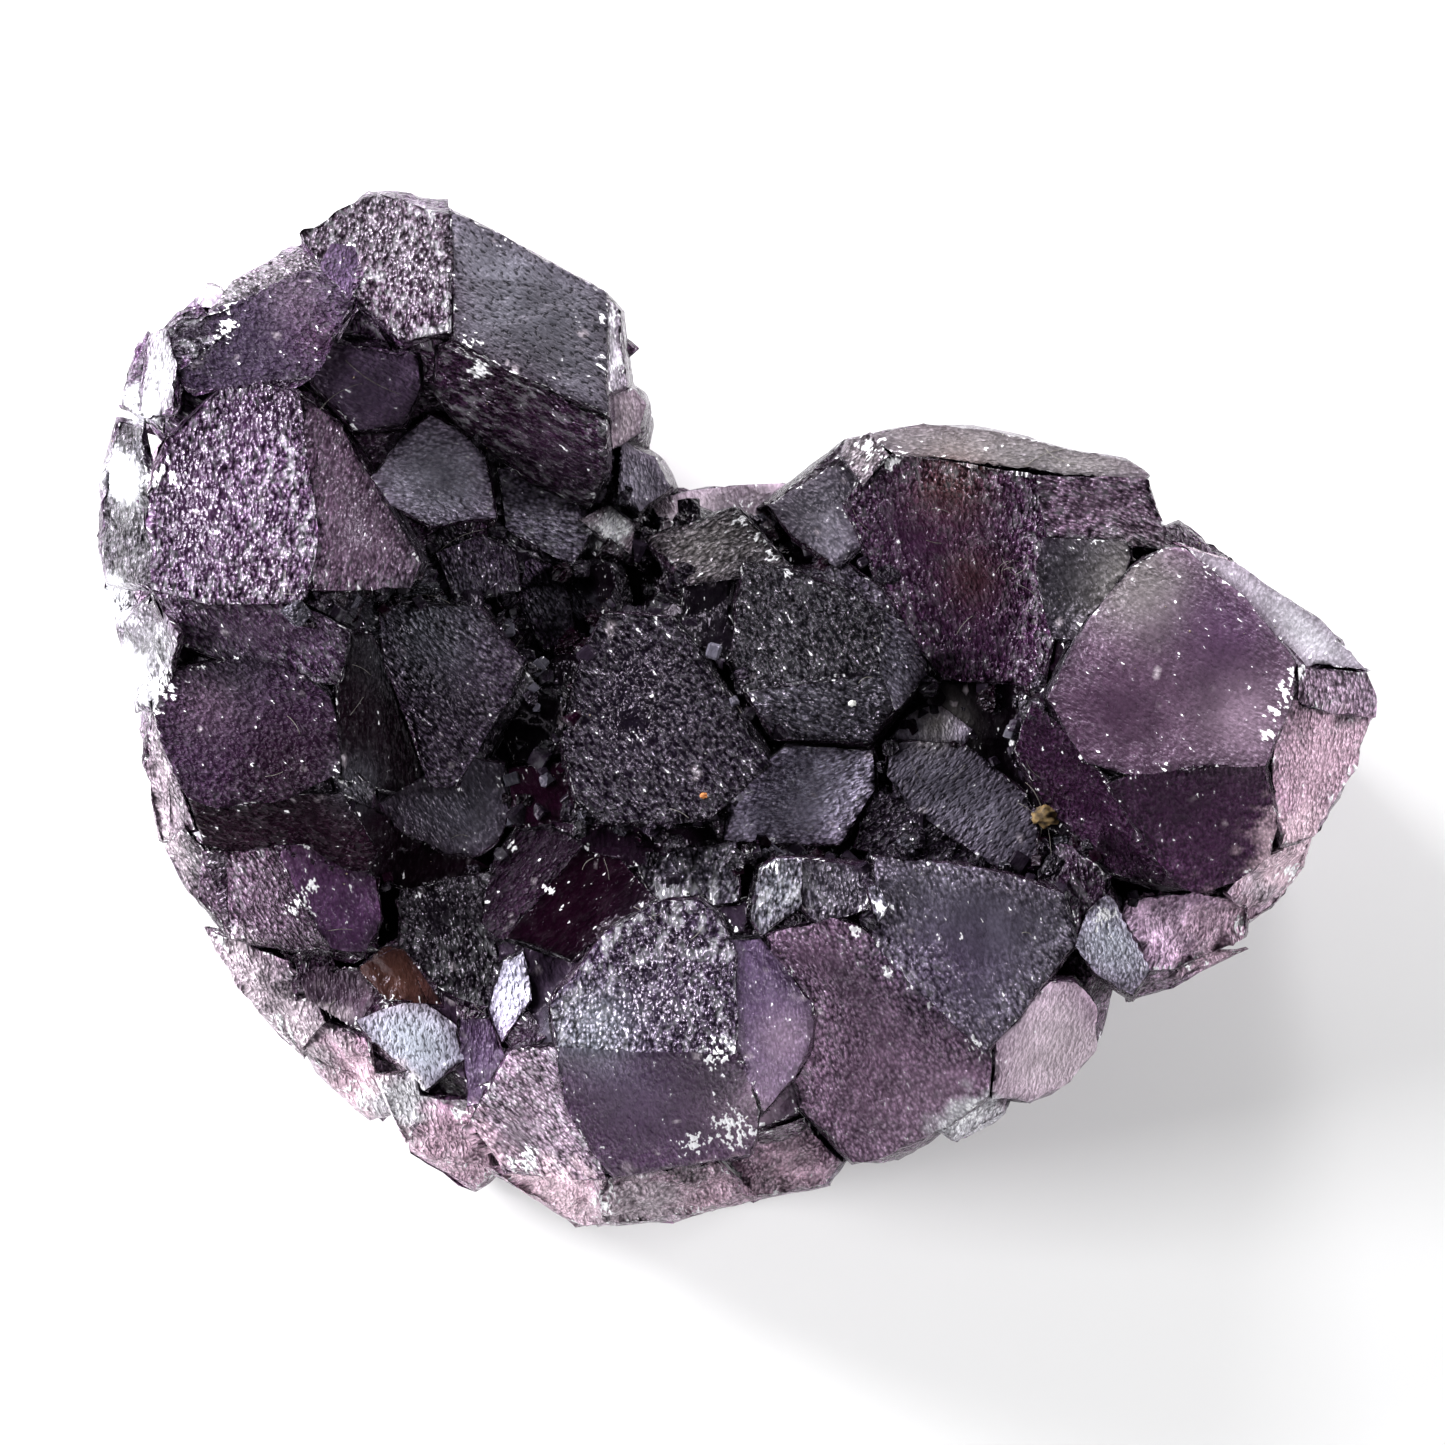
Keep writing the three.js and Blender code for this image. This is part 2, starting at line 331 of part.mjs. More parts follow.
// One crystal under its upper face, rooted in the core. Without a waist its sides fall straight to
// the root.
function crystal(corners, lean, waisted) {
  const { points, up, size } = faceOf(corners);
  const waist = Math.min(size * WAIST_SHARE, WAIST_MOST);
  const planes = [planeAt(points[0], up), planeAt(new THREE.Vector3(0, 0, LEVEL), UP.clone().negate())];
  points.forEach((point, i) => {
    const edge = points[(i + 1) % points.length].clone().sub(point);
    const out = new THREE.Vector3(edge.y, -edge.x, 0).normalize();
    const side = wayDown(out, lean);
    planes.push(planeAt(point, side.clone().cross(edge)));
    if (waisted) {
      const atWaist = point.clone().addScaledVector(side, waist);
      planes.push(planeAt(atWaist, wayDown(out, -UNDER_LEAN).cross(edge)));
    }
  });
  return convexBody(planes);
}

// A small crystal around its middle, with one octahedron face turned towards a direction.
function smallCrystal(middle, radius, direction, spin) {
  const corner = new THREE.Vector3(1, 1, 1).normalize();
  const turn = new THREE.Quaternion()
    .setFromUnitVectors(corner, direction)
    .multiply(new THREE.Quaternion().setFromAxisAngle(corner, spin));
  const facet = (x, y, z, distance) => {
    const normal = new THREE.Vector3(x, y, z).normalize().applyQuaternion(turn);
    return planeAt(normal.clone().multiplyScalar(distance).add(middle), normal);
  };
  const planes = [facet(1, 0, 0, radius * POINT_CUT), facet(0, 1, 0, radius * POINT_CUT)];
  for (const x of [-1, 1]) {
    for (const y of [-1, 1]) {
      for (const z of [-1, 1]) planes.push(facet(x, y, z, radius * FACE_SHARE));
    }
  }
  return convexBody(planes);
}

// A direction near the given one.
function near(direction, spread, random) {
  const shift = [random() - 0.5, random() - 0.5, random() - 0.5];
  return direction.clone().addScaledVector(new THREE.Vector3(...shift), spread).normalize();
}

// Repeatable random numbers from 0 to 1 (the mulberry32 recipe).
function randomFrom(seed) {
  let state = seed;
  return () => {
    state = (state + 0x6d2b79f5) | 0;
    let t = Math.imul(state ^ (state >>> 15), 1 | state);
    t = (t + Math.imul(t ^ (t >>> 7), 61 | t)) ^ t;
    return ((t ^ (t >>> 14)) >>> 0) / 4294967296;
  };
}

// Small crystals on the floor of a hollow, spread evenly by the golden angle.
function hollowCrystals({ x, y, reach, z, count, radius }, random) {
  return Array.from({ length: count }, (_, i) => {
    const distance = reach * Math.sqrt((i + 0.5) / count);
    const size = radius * (0.7 + 0.6 * random());
    const middle = new THREE.Vector3(
      x + distance * Math.cos(i * GOLDEN_ANGLE),
      y + distance * Math.sin(i * GOLDEN_ANGLE),
      z + (random() - 0.5) * radius,
    );
    return smallCrystal(middle, size, near(UP, HOLLOW_SPREAD, random), random() * Math.PI);
  });
}

// A row of crystals round the sides, with a face of each turned outwards and leaning up or down.
function sideCrystals({ drop, rise, inset, spacing, radius }, random) {
  const corners = sideEdge.map((corner) => new THREE.Vector3(...corner));
  const edge = new THREE.CatmullRomCurve3(corners, true, "centripetal");
  const count = Math.round(edge.getLength() / spacing);
  const made = [];
  for (let i = 0; i < count; i++) {
    const at = (i + 0.6 * random()) / count;
    const along = edge.getTangentAt(at).setZ(0).normalize();
    const outwards = new THREE.Vector3(-along.y, along.x, 0);
    const size = radius * (0.75 + 0.5 * random());
    const middle = edge.getPointAt(at).addScaledVector(outwards, -inset - size * FACE_SHARE);
    middle.z -= drop + random() * radius * 0.4;
    const direction = near(outwards.setZ(rise).normalize(), SIDE_SPREAD, random);
    if (middle.z > LEVEL) made.push(smallCrystal(middle, size, direction, random() * Math.PI));
  }
  return made;
}

// The outline's corners, drawn in or out around its middle, at one height.
function ring(outline, share, z) {
  const middle = new THREE.Vector2();
  for (const [x, y] of outline) middle.add(new THREE.Vector2(x, y).divideScalar(outline.length));
  return outline.map(([x, y]) => {
    const corner = new THREE.Vector2(x, y).lerp(middle, 1 - share);
    return new THREE.Vector3(corner.x, corner.y, z);
  });
}

// One lump of the core, widest a little below its shoulder.
function coreLump({ outline, shoulder }) {
  return solidOf(
    new ConvexGeometry([
      ...ring(outline, FOOT_SHARE, LEVEL),
      ...ring(outline, 1, shoulder * 0.6),
      ...ring(outline, CORE_SHOULDER, shoulder),
    ]),
  );
}

// The space of one lobe, from the resting face to above the crystals, drawn in below its widest
// outline.
function lobeSpace(outline) {
  const widest = outline.map((corner) => new THREE.Vector3(...corner));
  return solidOf(
    new ConvexGeometry([
      ...ring(outline, FOOT_SHARE, LEVEL),
      ...ring(outline, HALFWAY.share, HALFWAY.z),
      ...widest,
      ...ring(outline, 1, SKY),
    ]),
  );
}

// The same with straight sides, which nothing passes.
function lobeLimit(outline) {
  return solidOf(new ConvexGeometry([...ring(outline, 1, LEVEL), ...ring(outline, 1, SKY)]));
}

function joined(solids) {
  return solids.reduce((whole, solid) => whole.add(solid));
}

const random = randomFrom(SEED);
const grown = [leftLobe, topCrystal, centre, rightLobe, front].flatMap((group) => Object.values(group));
const tall = joined(grown.map((corners) => crystal(corners, SIDE_LEAN, false)));
const sides = joined(sideRows.flatMap((row) => sideCrystals(row, random)));
const cluster = joined([
  ...core.map(coreLump),
  tall.intersect(joined(lobes.map(lobeSpace))),
  sides.intersect(joined(lobes.map(lobeLimit))),
  ...Object.values(rim).map((corners) => crystal(corners, RIM_LEAN, true)),
  ...hollows.flatMap((hollow) => hollowCrystals(hollow, random)),
]);
const below = new THREE.BoxGeometry(SKY * 2, SKY * 2, SKY).translate(0, 0, LEVEL - SKY / 2);
const [solid] = cluster
  .subtract(solidOf(below))
  .simplify(SLIVER)
  .decompose()
  .sort((one, other) => other.volume() - one.volume());

const geometry = geometryOf(solid);
geometry.computeBoundingBox();
const { min, max } = geometry.boundingBox;
geometry.translate(-(min.x + max.x) / 2, -(min.y + max.y) / 2, -min.z);

const fluorite = new THREE.Mesh(
  geometry,
  new THREE.MeshStandardMaterial({ color: 0x2b2133, roughness: 0.35, metalness: 0 }),
);
fluorite.name = "fluorite_cluster";

const part = new THREE.Group();
part.add(fluorite);
export default part;
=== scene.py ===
"""Looks of the fluorite crystal cluster: frosted purple crystals, the dirt in their hollows, floor and light.

All of it is in metres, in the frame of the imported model. Places on the cluster are written in
millimetres, as they are seen from above: x to the right, y up, z towards the camera.
"""

import logging
import math
from dataclasses import dataclass, fields
from enum import Enum

import bpy
import numpy as np
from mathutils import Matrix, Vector
from mathutils.bvhtree import BVHTree


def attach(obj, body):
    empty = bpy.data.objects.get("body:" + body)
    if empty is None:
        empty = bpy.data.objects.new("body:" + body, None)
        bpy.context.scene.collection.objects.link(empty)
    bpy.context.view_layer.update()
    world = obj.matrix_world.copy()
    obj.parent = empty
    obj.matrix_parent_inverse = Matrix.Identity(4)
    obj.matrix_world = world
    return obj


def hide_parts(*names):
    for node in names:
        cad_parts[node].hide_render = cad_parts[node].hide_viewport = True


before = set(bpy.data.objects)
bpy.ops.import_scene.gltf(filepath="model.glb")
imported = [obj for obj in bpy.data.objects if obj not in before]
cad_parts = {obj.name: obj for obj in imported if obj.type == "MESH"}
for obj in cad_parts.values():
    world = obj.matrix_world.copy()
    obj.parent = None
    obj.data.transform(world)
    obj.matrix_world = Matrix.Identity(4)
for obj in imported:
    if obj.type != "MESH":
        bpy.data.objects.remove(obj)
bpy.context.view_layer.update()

MM = 0.001
BODY = "root"
CAD_NODE = "fluorite_cluster"
PHOTO_PIXELS = 1445
TINY = 1e-12
TINY_AREA = 1e-18
MIX_SHARE, MIX_ONE, MIX_OTHER, MIX_RESULT = 0, 6, 7, 2

log = logging.getLogger("fluorite")

Colour = tuple[float, float, float]


class Tint(Enum):
    """The colours that the fluorite shows from face to face, as linear red, green and blue."""

    BLACK = (0.0008, 0.0003, 0.0008)
    WINE = (0.0060, 0.0008, 0.0040)
    RUST = (0.0700, 0.0280, 0.0200)
    INK = (0.0120, 0.0080, 0.0145)
    PLUM = (0.0300, 0.0095, 0.0300)
    PURPLE = (0.0500, 0.0210, 0.0580)
    VIOLET = (0.0680, 0.0410, 0.0930)
    MAUVE = (0.1050, 0.0620, 0.1010)
    LILAC = (0.2600, 0.1850, 0.2500)
    PINK = (0.5500, 0.3600, 0.4600)
    ROSE = (0.8600, 0.6200, 0.7200)
    PALE = (0.5200, 0.4300, 0.4900)
    # the greys are partly grey tone and partly painted reflection: the sheen of smooth faces that face the bright
    # surroundings
    SLATE = (0.0450, 0.0420, 0.0560)
    ASH = (0.0850, 0.0830, 0.1030)
    SMOKE = (0.2400, 0.2200, 0.2200)
    # painted sheen: the bluish white of faces that reflect a bright window
    PAINTED_SHEEN = (0.3000, 0.3250, 0.3800)
    # white of chipped and frosted places, and painted glints and reflections on faces that face the bright surroundings
    WHITE_AND_PAINTED_GLINT = (0.7000, 0.7000, 0.7500)


@dataclass(frozen=True)
class Grain:
    """How one kind of crystal face is worked.

    Args:
        sparkle: Share of fine blunt pyramids.
        ripple: Share of fine ripples along the grain.
        pits: Share of shallow pits.
        roughness: How far reflections spread.
        steps: Height of growth steps, in millimetres.
        swell: Height of slow swells, in millimetres.
        cell: Width of the growth hillocks, in millimetres.
        hill: Slope of their sides.
        shine: How much it reflects, 0.5 for clean fluorite.
    """

    sparkle: float
    ripple: float
    pits: float
    roughness: float
    steps: float
    swell: float
    cell: float
    hill: float
    shine: float


class Relief(Enum):
    """The kinds of crystal face."""

    SPARKLING = Grain(1.0, 0.25, 0.1, 0.10, 0.05, 0.06, 0.8, 0.10, 0.50)
    FROSTED = Grain(0.42, 0.38, 0.2, 0.17, 0.05, 0.06, 1.1, 0.06, 0.41)
    RIPPLED = Grain(0.12, 1.0, 0.2, 0.15, 0.08, 0.08, 1.2, 0.12, 0.45)
    PITTED = Grain(0.03, 0.16, 1.0, 0.38, 0.03, 0.04, 1.3, 0.03, 0.37)
    SATIN = Grain(0.07, 0.18, 0.2, 0.30, 0.02, 0.05, 2.0, 0.02, 0.27)
    GLASSY = Grain(0.02, 0.07, 0.1, 0.13, 0.02, 0.05, 2.0, 0.01, 0.16)
    DEEP = Grain(0.08, 0.42, 0.4, 0.26, 0.03, 0.06, 1.6, 0.05, 0.02)
    FLAKED = Grain(0.45, 0.50, 0.3, 0.18, 0.18, 0.24, 1.4, 0.50, 0.45)


@dataclass(frozen=True)
class FaceLook:
    """The look of the crystal face that is seen from above at a place.

    Args:
        spot: Place of the face on the plan, in millimetres.
        tint: Its colour.
        relief: Its kind of surface.
        shade: How bright the colour is on this face: partly its own tone, partly painted light and shade, raised on
            faces that lie in shade.
        turn: Direction of its grain, in degrees from upright.
    """

    spot: tuple[float, float]
    tint: Tint
    relief: Relief
    shade: float = 1.0
    turn: float = 0.0


# most whites and silvers here are painted reflections of the bright surroundings, and each shade holds painted light
# and shade besides the face's tone
FACES: dict[str, FaceLook] = {
    # the left lobe
    "frosted_face": FaceLook((-19.5, 8.5), Tint.PURPLE, Relief.SPARKLING, 0.8, 10),
    "frosted_lower": FaceLook((-18.5, 3.0), Tint.PURPLE, Relief.FROSTED, 0.8, 10),
    "frosted_right": FaceLook((-14.8, 7.5), Tint.MAUVE, Relief.FROSTED, 1.25, -20),
    "upper_face": FaceLook((-18.5, 15.0), Tint.VIOLET, Relief.DEEP, 0.30, 60),
    "upper_band": FaceLook((-17.6, 17.6), Tint.LILAC, Relief.SPARKLING, 0.18, 60),
    "pale_cap": FaceLook((-15.3, 17.2), Tint.VIOLET, Relief.DEEP, 0.5),
    "small_dark": FaceLook((-14.0, 12.8), Tint.INK, Relief.SATIN, 6.5, 70),
    "white_edge": FaceLook((-22.5, 13.6), Tint.WHITE_AND_PAINTED_GLINT, Relief.SPARKLING, 0.4),
    "bright_cube": FaceLook((-20.7, 16.4), Tint.WHITE_AND_PAINTED_GLINT, Relief.SATIN),
    "purple_face": FaceLook((-19.0, -0.8), Tint.PURPLE, Relief.DEEP, 0.42, 60),
    "purple_lower": FaceLook((-18.0, -4.4), Tint.WINE, Relief.DEEP, 1.7, 80),
    "red_face": FaceLook((-14.0, 0.3), Tint.WINE, Relief.DEEP, 0.6),
    "red_strip": FaceLook((-12.6, -4.9), Tint.WINE, Relief.GLASSY, 0.4),
    "sparkling_face": FaceLook((-18.6, -7.2), Tint.MAUVE, Relief.RIPPLED, 1.0, 20),
    "sparkling_side": FaceLook((-19.3, -6.3), Tint.MAUVE, Relief.SPARKLING, 1.2, 20),
    "smooth_face": FaceLook((-15.6, -7.4), Tint.PURPLE, Relief.SATIN, 1.4, 20),
    "low_face": FaceLook((-15.6, -10.8), Tint.MAUVE, Relief.SATIN, 0.45),
    "brown_face": FaceLook((-13.2, -10.4), Tint.RUST, Relief.GLASSY, 0.6),
    "bright_face": FaceLook((-12.4, -12.6), Tint.PAINTED_SHEEN, Relief.PITTED, 1.7),
    # the crystal at the top
    "grey_face": FaceLook((-7.6, 15.2), Tint.ASH, Relief.PITTED, 0.65, 60),
    "grey_middle": FaceLook((-9.2, 16.0), Tint.ASH, Relief.PITTED, 0.8, 60),
    "grey_upper": FaceLook((-8.0, 17.8), Tint.ASH, Relief.PITTED, 1.25, 40),
    "dark_lower": FaceLook((-7.5, 11.4), Tint.PLUM, Relief.SPARKLING, 0.8, 40),
    "upper_sparkle": FaceLook((-13.0, 17.5), Tint.MAUVE, Relief.SPARKLING, 0.3, 15),
    "bright_side": FaceLook((-4.7, 14.4), Tint.WHITE_AND_PAINTED_GLINT, Relief.FLAKED),
    "notch_face": FaceLook((-4.3, 11.8), Tint.SMOKE, Relief.SATIN, 1.5),
    "notch_grey": FaceLook((-3.7, 9.4), Tint.ASH, Relief.SATIN, 1.4),
    "notch_bright": FaceLook((-4.9, 7.1), Tint.SMOKE, Relief.RIPPLED, 3.6, -40),
    # the hollow
    "hexagon_face": FaceLook((-2.7, 0.0), Tint.VIOLET, Relief.RIPPLED, 0.13, 40),
    "rough_upper": FaceLook((2.7, 3.4), Tint.SLATE, Relief.RIPPLED, 0.20, 30),
    "rough_lower": FaceLook((3.6, 0.2), Tint.SLATE, Relief.RIPPLED, 1.2, 60),
    "rough_right": FaceLook((6.6, 2.0), Tint.SLATE, Relief.RIPPLED, 3.4, 60),
    "shadow_face": FaceLook((-1.2, 4.3), Tint.INK, Relief.GLASSY, 0.3),
    "brown_top": FaceLook((-0.6, 6.6), Tint.SMOKE, Relief.RIPPLED, 0.7, -50),
    "rhombus": FaceLook((3.4, 8.0), Tint.ASH, Relief.SATIN, 0.65, 45),
    "rhombus_plate": FaceLook((4.2, 10.2), Tint.SMOKE, Relief.RIPPLED, 0.7, -60),
    "far_ridge": FaceLook((-0.6, 8.9), Tint.SMOKE, Relief.SATIN, 3.0),
    "side_plate": FaceLook((5.3, 4.6), Tint.SLATE, Relief.RIPPLED, 1.7, 50),
    "kite": FaceLook((-11.0, 1.6), Tint.INK, Relief.RIPPLED, 4.2, 50),
    "grey_smooth": FaceLook((-11.3, -3.8), Tint.SLATE, Relief.SATIN, 1.2, 30),
    "ledge_a": FaceLook((-11.6, 9.2), Tint.ASH, Relief.FROSTED, 6.0, 80),
    "ledge_b": FaceLook((-7.6, 8.2), Tint.SLATE, Relief.FROSTED, 3.2, 80),
    "ledge_c": FaceLook((-10.2, 5.6), Tint.INK, Relief.RIPPLED, 3.0, 10),
    "floor_upper": FaceLook((-7.5, 4.3), Tint.INK, Relief.RIPPLED, 9.0, 30),
    "floor_left": FaceLook((-7.7, -3.1), Tint.WINE, Relief.GLASSY, 2.0, 30),
    "pit_left": FaceLook((-7.9, -0.6), Tint.BLACK, Relief.GLASSY, 2.0),
    "pit_middle": FaceLook((-7.1, 1.8), Tint.BLACK, Relief.GLASSY, 2.0),
    "pit_upper": FaceLook((-5.5, 5.1), Tint.BLACK, Relief.GLASSY, 4.0),
    "pit_top": FaceLook((-3.5, 5.2), Tint.BLACK, Relief.GLASSY, 5.0),
    "pit_right": FaceLook((10.0, -0.3), Tint.BLACK, Relief.GLASSY, 2.0),
    "groove_face": FaceLook((-3.4, -5.0), Tint.BLACK, Relief.GLASSY, 14.0),
    "slab_a": FaceLook((2.6, -3.0), Tint.SLATE, Relief.FROSTED, 9.5, -70),
    "pale_cube": FaceLook((7.8, -0.4), Tint.ASH, Relief.SATIN, 7.0),
    "brown_slab": FaceLook((9.2, -3.2), Tint.SLATE, Relief.PITTED, 2.2, -50),
    "step_band": FaceLook((7.4, -4.8), Tint.INK, Relief.RIPPLED, 1.0, -55),
    # the right lobe
    "bevel": FaceLook((11.0, 10.3), Tint.SMOKE, Relief.SATIN, 0.36, 80),
    "purple_right": FaceLook((8.6, 6.6), Tint.PLUM, Relief.FROSTED, 1.2, 5),
    "dark_right": FaceLook((14.0, 8.2), Tint.MAUVE, Relief.FROSTED, 1.0, 70),
    "grey_cube": FaceLook((13.3, 5.2), Tint.SLATE, Relief.SATIN, 0.33, 40),
    "big_face": FaceLook((17.0, 2.0), Tint.MAUVE, Relief.SATIN, 0.6, 50),
    "big_lower": FaceLook((18.0, -4.4), Tint.PLUM, Relief.DEEP, 1.5, 10),
    "big_left": FaceLook((13.6, -3.0), Tint.PLUM, Relief.DEEP, 0.8, -40),
    "white_face": FaceLook((20.8, 4.2), Tint.WHITE_AND_PAINTED_GLINT, Relief.SATIN, 0.5, -35),
    "corner_face": FaceLook((23.6, 0.9), Tint.LILAC, Relief.FROSTED, 1.3),
    "lilac_face": FaceLook((22.6, -1.8), Tint.PINK, Relief.FROSTED, 0.9, 10),
    "lilac_foot": FaceLook((17.6, -8.4), Tint.LILAC, Relief.FLAKED, 3.6),
    # the front
    "dark_rough": FaceLook((-11.4, -8.6), Tint.INK, Relief.FROSTED, 0.5, 20),
    "dark_hollow": FaceLook((-7.5, -10.2), Tint.INK, Relief.GLASSY, 5.0, 20),
    "ridge_left": FaceLook((-8.0, -6.4), Tint.PLUM, Relief.DEEP, 0.45, -40),
    "ridge_right": FaceLook((-6.0, -7.6), Tint.WINE, Relief.GLASSY, 1.0, -45),
    "bright_leaf": FaceLook((-8.9, -10.9), Tint.PAINTED_SHEEN, Relief.FROSTED, 3.8, 5),
    "small_rough": FaceLook((-1.6, -6.2), Tint.SLATE, Relief.SPARKLING, 1.1),
    "nose_face": FaceLook((-2.8, -10.6), Tint.VIOLET, Relief.SPARKLING, 0.30, 5),
    "nose_right": FaceLook((1.2, -11.6), Tint.VIOLET, Relief.SATIN, 1.15, -10),
    "nose_lower": FaceLook((-3.0, -15.4), Tint.PURPLE, Relief.SATIN, 1.3, 5),
    "lilac_slope": FaceLook((-8.4, -15.6), Tint.LILAC, Relief.SPARKLING, 0.85, 30),
    "lilac_small": FaceLook((-10.0, -13.2), Tint.VIOLET, Relief.SATIN, 0.7),
    "long_face": FaceLook((5.6, -12.6), Tint.MAUVE, Relief.FROSTED, 3.3, 20),
    "bright_scale": FaceLook((1.5, -7.0), Tint.PAINTED_SHEEN, Relief.SPARKLING, 0.25, 5),
    "scale_right": FaceLook((3.6, -6.6), Tint.SLATE, Relief.FROSTED, 0.9),
    "bright_sliver": FaceLook((5.4, -7.3), Tint.PAINTED_SHEEN, Relief.SPARKLING, 0.8),
    "big_rough": FaceLook((9.4, -8.8), Tint.SLATE, Relief.FROSTED, 2.5, 25),
    "bright_wing": FaceLook((14.9, -9.2), Tint.PAINTED_SHEEN, Relief.FROSTED, 1.5, 15),
    "wing_shade": FaceLook((13.3, -6.4), Tint.PLUM, Relief.FROSTED, 0.8),
    "pale_crystal": FaceLook((12.2, -12.8), Tint.PALE, Relief.SATIN, 1.35),
    # the rim
    "left_white": FaceLook((-23.8, 8.0), Tint.WHITE_AND_PAINTED_GLINT, Relief.FLAKED, 0.05, 10),
    "left_lower": FaceLook((-23.0, 2.4), Tint.WHITE_AND_PAINTED_GLINT, Relief.FLAKED, 0.22),
    "left_side": FaceLook((-22.7, -2.0), Tint.PALE, Relief.FLAKED, 0.5),
    "left_foot": FaceLook((-22.3, -3.0), Tint.PALE, Relief.FLAKED, 0.5),
    "left_toe": FaceLook((-21.4, -6.2), Tint.PALE, Relief.FLAKED, 0.3),
    "corner_lilac": FaceLook((-18.4, -10.6), Tint.PALE, Relief.FLAKED, 0.9),
    "corner_low": FaceLook((-15.4, -13.6), Tint.PINK, Relief.FLAKED, 1.0),
    "white_broken": FaceLook((-13.2, -15.2), Tint.WHITE_AND_PAINTED_GLINT, Relief.FLAKED, 1.3),
    "lilac_apron": FaceLook((-11.4, -16.8), Tint.PINK, Relief.FLAKED, 1.1),
    "pink_crumb": FaceLook((-7.2, -18.8), Tint.PINK, Relief.FLAKED, 2.8),
    "ledge": FaceLook((-2.6, -18.8), Tint.PINK, Relief.FLAKED, 0.4),
    "ledge_right": FaceLook((2.0, -17.8), Tint.PINK, Relief.FLAKED, 1.0),
    "white_bits": FaceLook((9.4, -15.8), Tint.PALE, Relief.FLAKED, 1.6),
    "wing_foot": FaceLook((17.0, -10.1), Tint.LILAC, Relief.FLAKED, 1.2),
    "lilac_hem": FaceLook((21.0, -6.4), Tint.PALE, Relief.FLAKED, 1.1),
    "far_druse": FaceLook((17.6, 6.6), Tint.PINK, Relief.FLAKED),
}


@dataclass(frozen=True)
class Patch:
    """A place where another colour shows over whatever faces are there.

    Args:
        middle: Its middle on the plan, in millimetres.
        reach: How far it goes, in millimetres.
        strength: How much of the colour there is.
        tint: The colour.
        ragged: Whether it is a broken patch, or light from inside that fades softly.
    """

    middle: tuple[float, float]
    reach: float
    strength: float
    tint: Tint
    ragged: bool = False

    def mask(self, points: np.ndarray, noise: np.ndarray) -> np.ndarray:
        """Gives how much of the colour each place has.

        Args:
            points: The places, in millimetres.
            noise: A number for each, about -1 to 1.

        Returns:
            Numbers from 0 to 1.
        """
        away = np.linalg.norm(points[:, :2] - self.middle, axis=1) / self.reach
        soft = np.exp(-away * away)
        if self.ragged:
            return self.strength * smooth_step(0.25, 0.75, soft + 0.45 * noise)
        return self.strength * soft * np.clip(1.0 + 0.6 * noise, 0.0, 1.6)


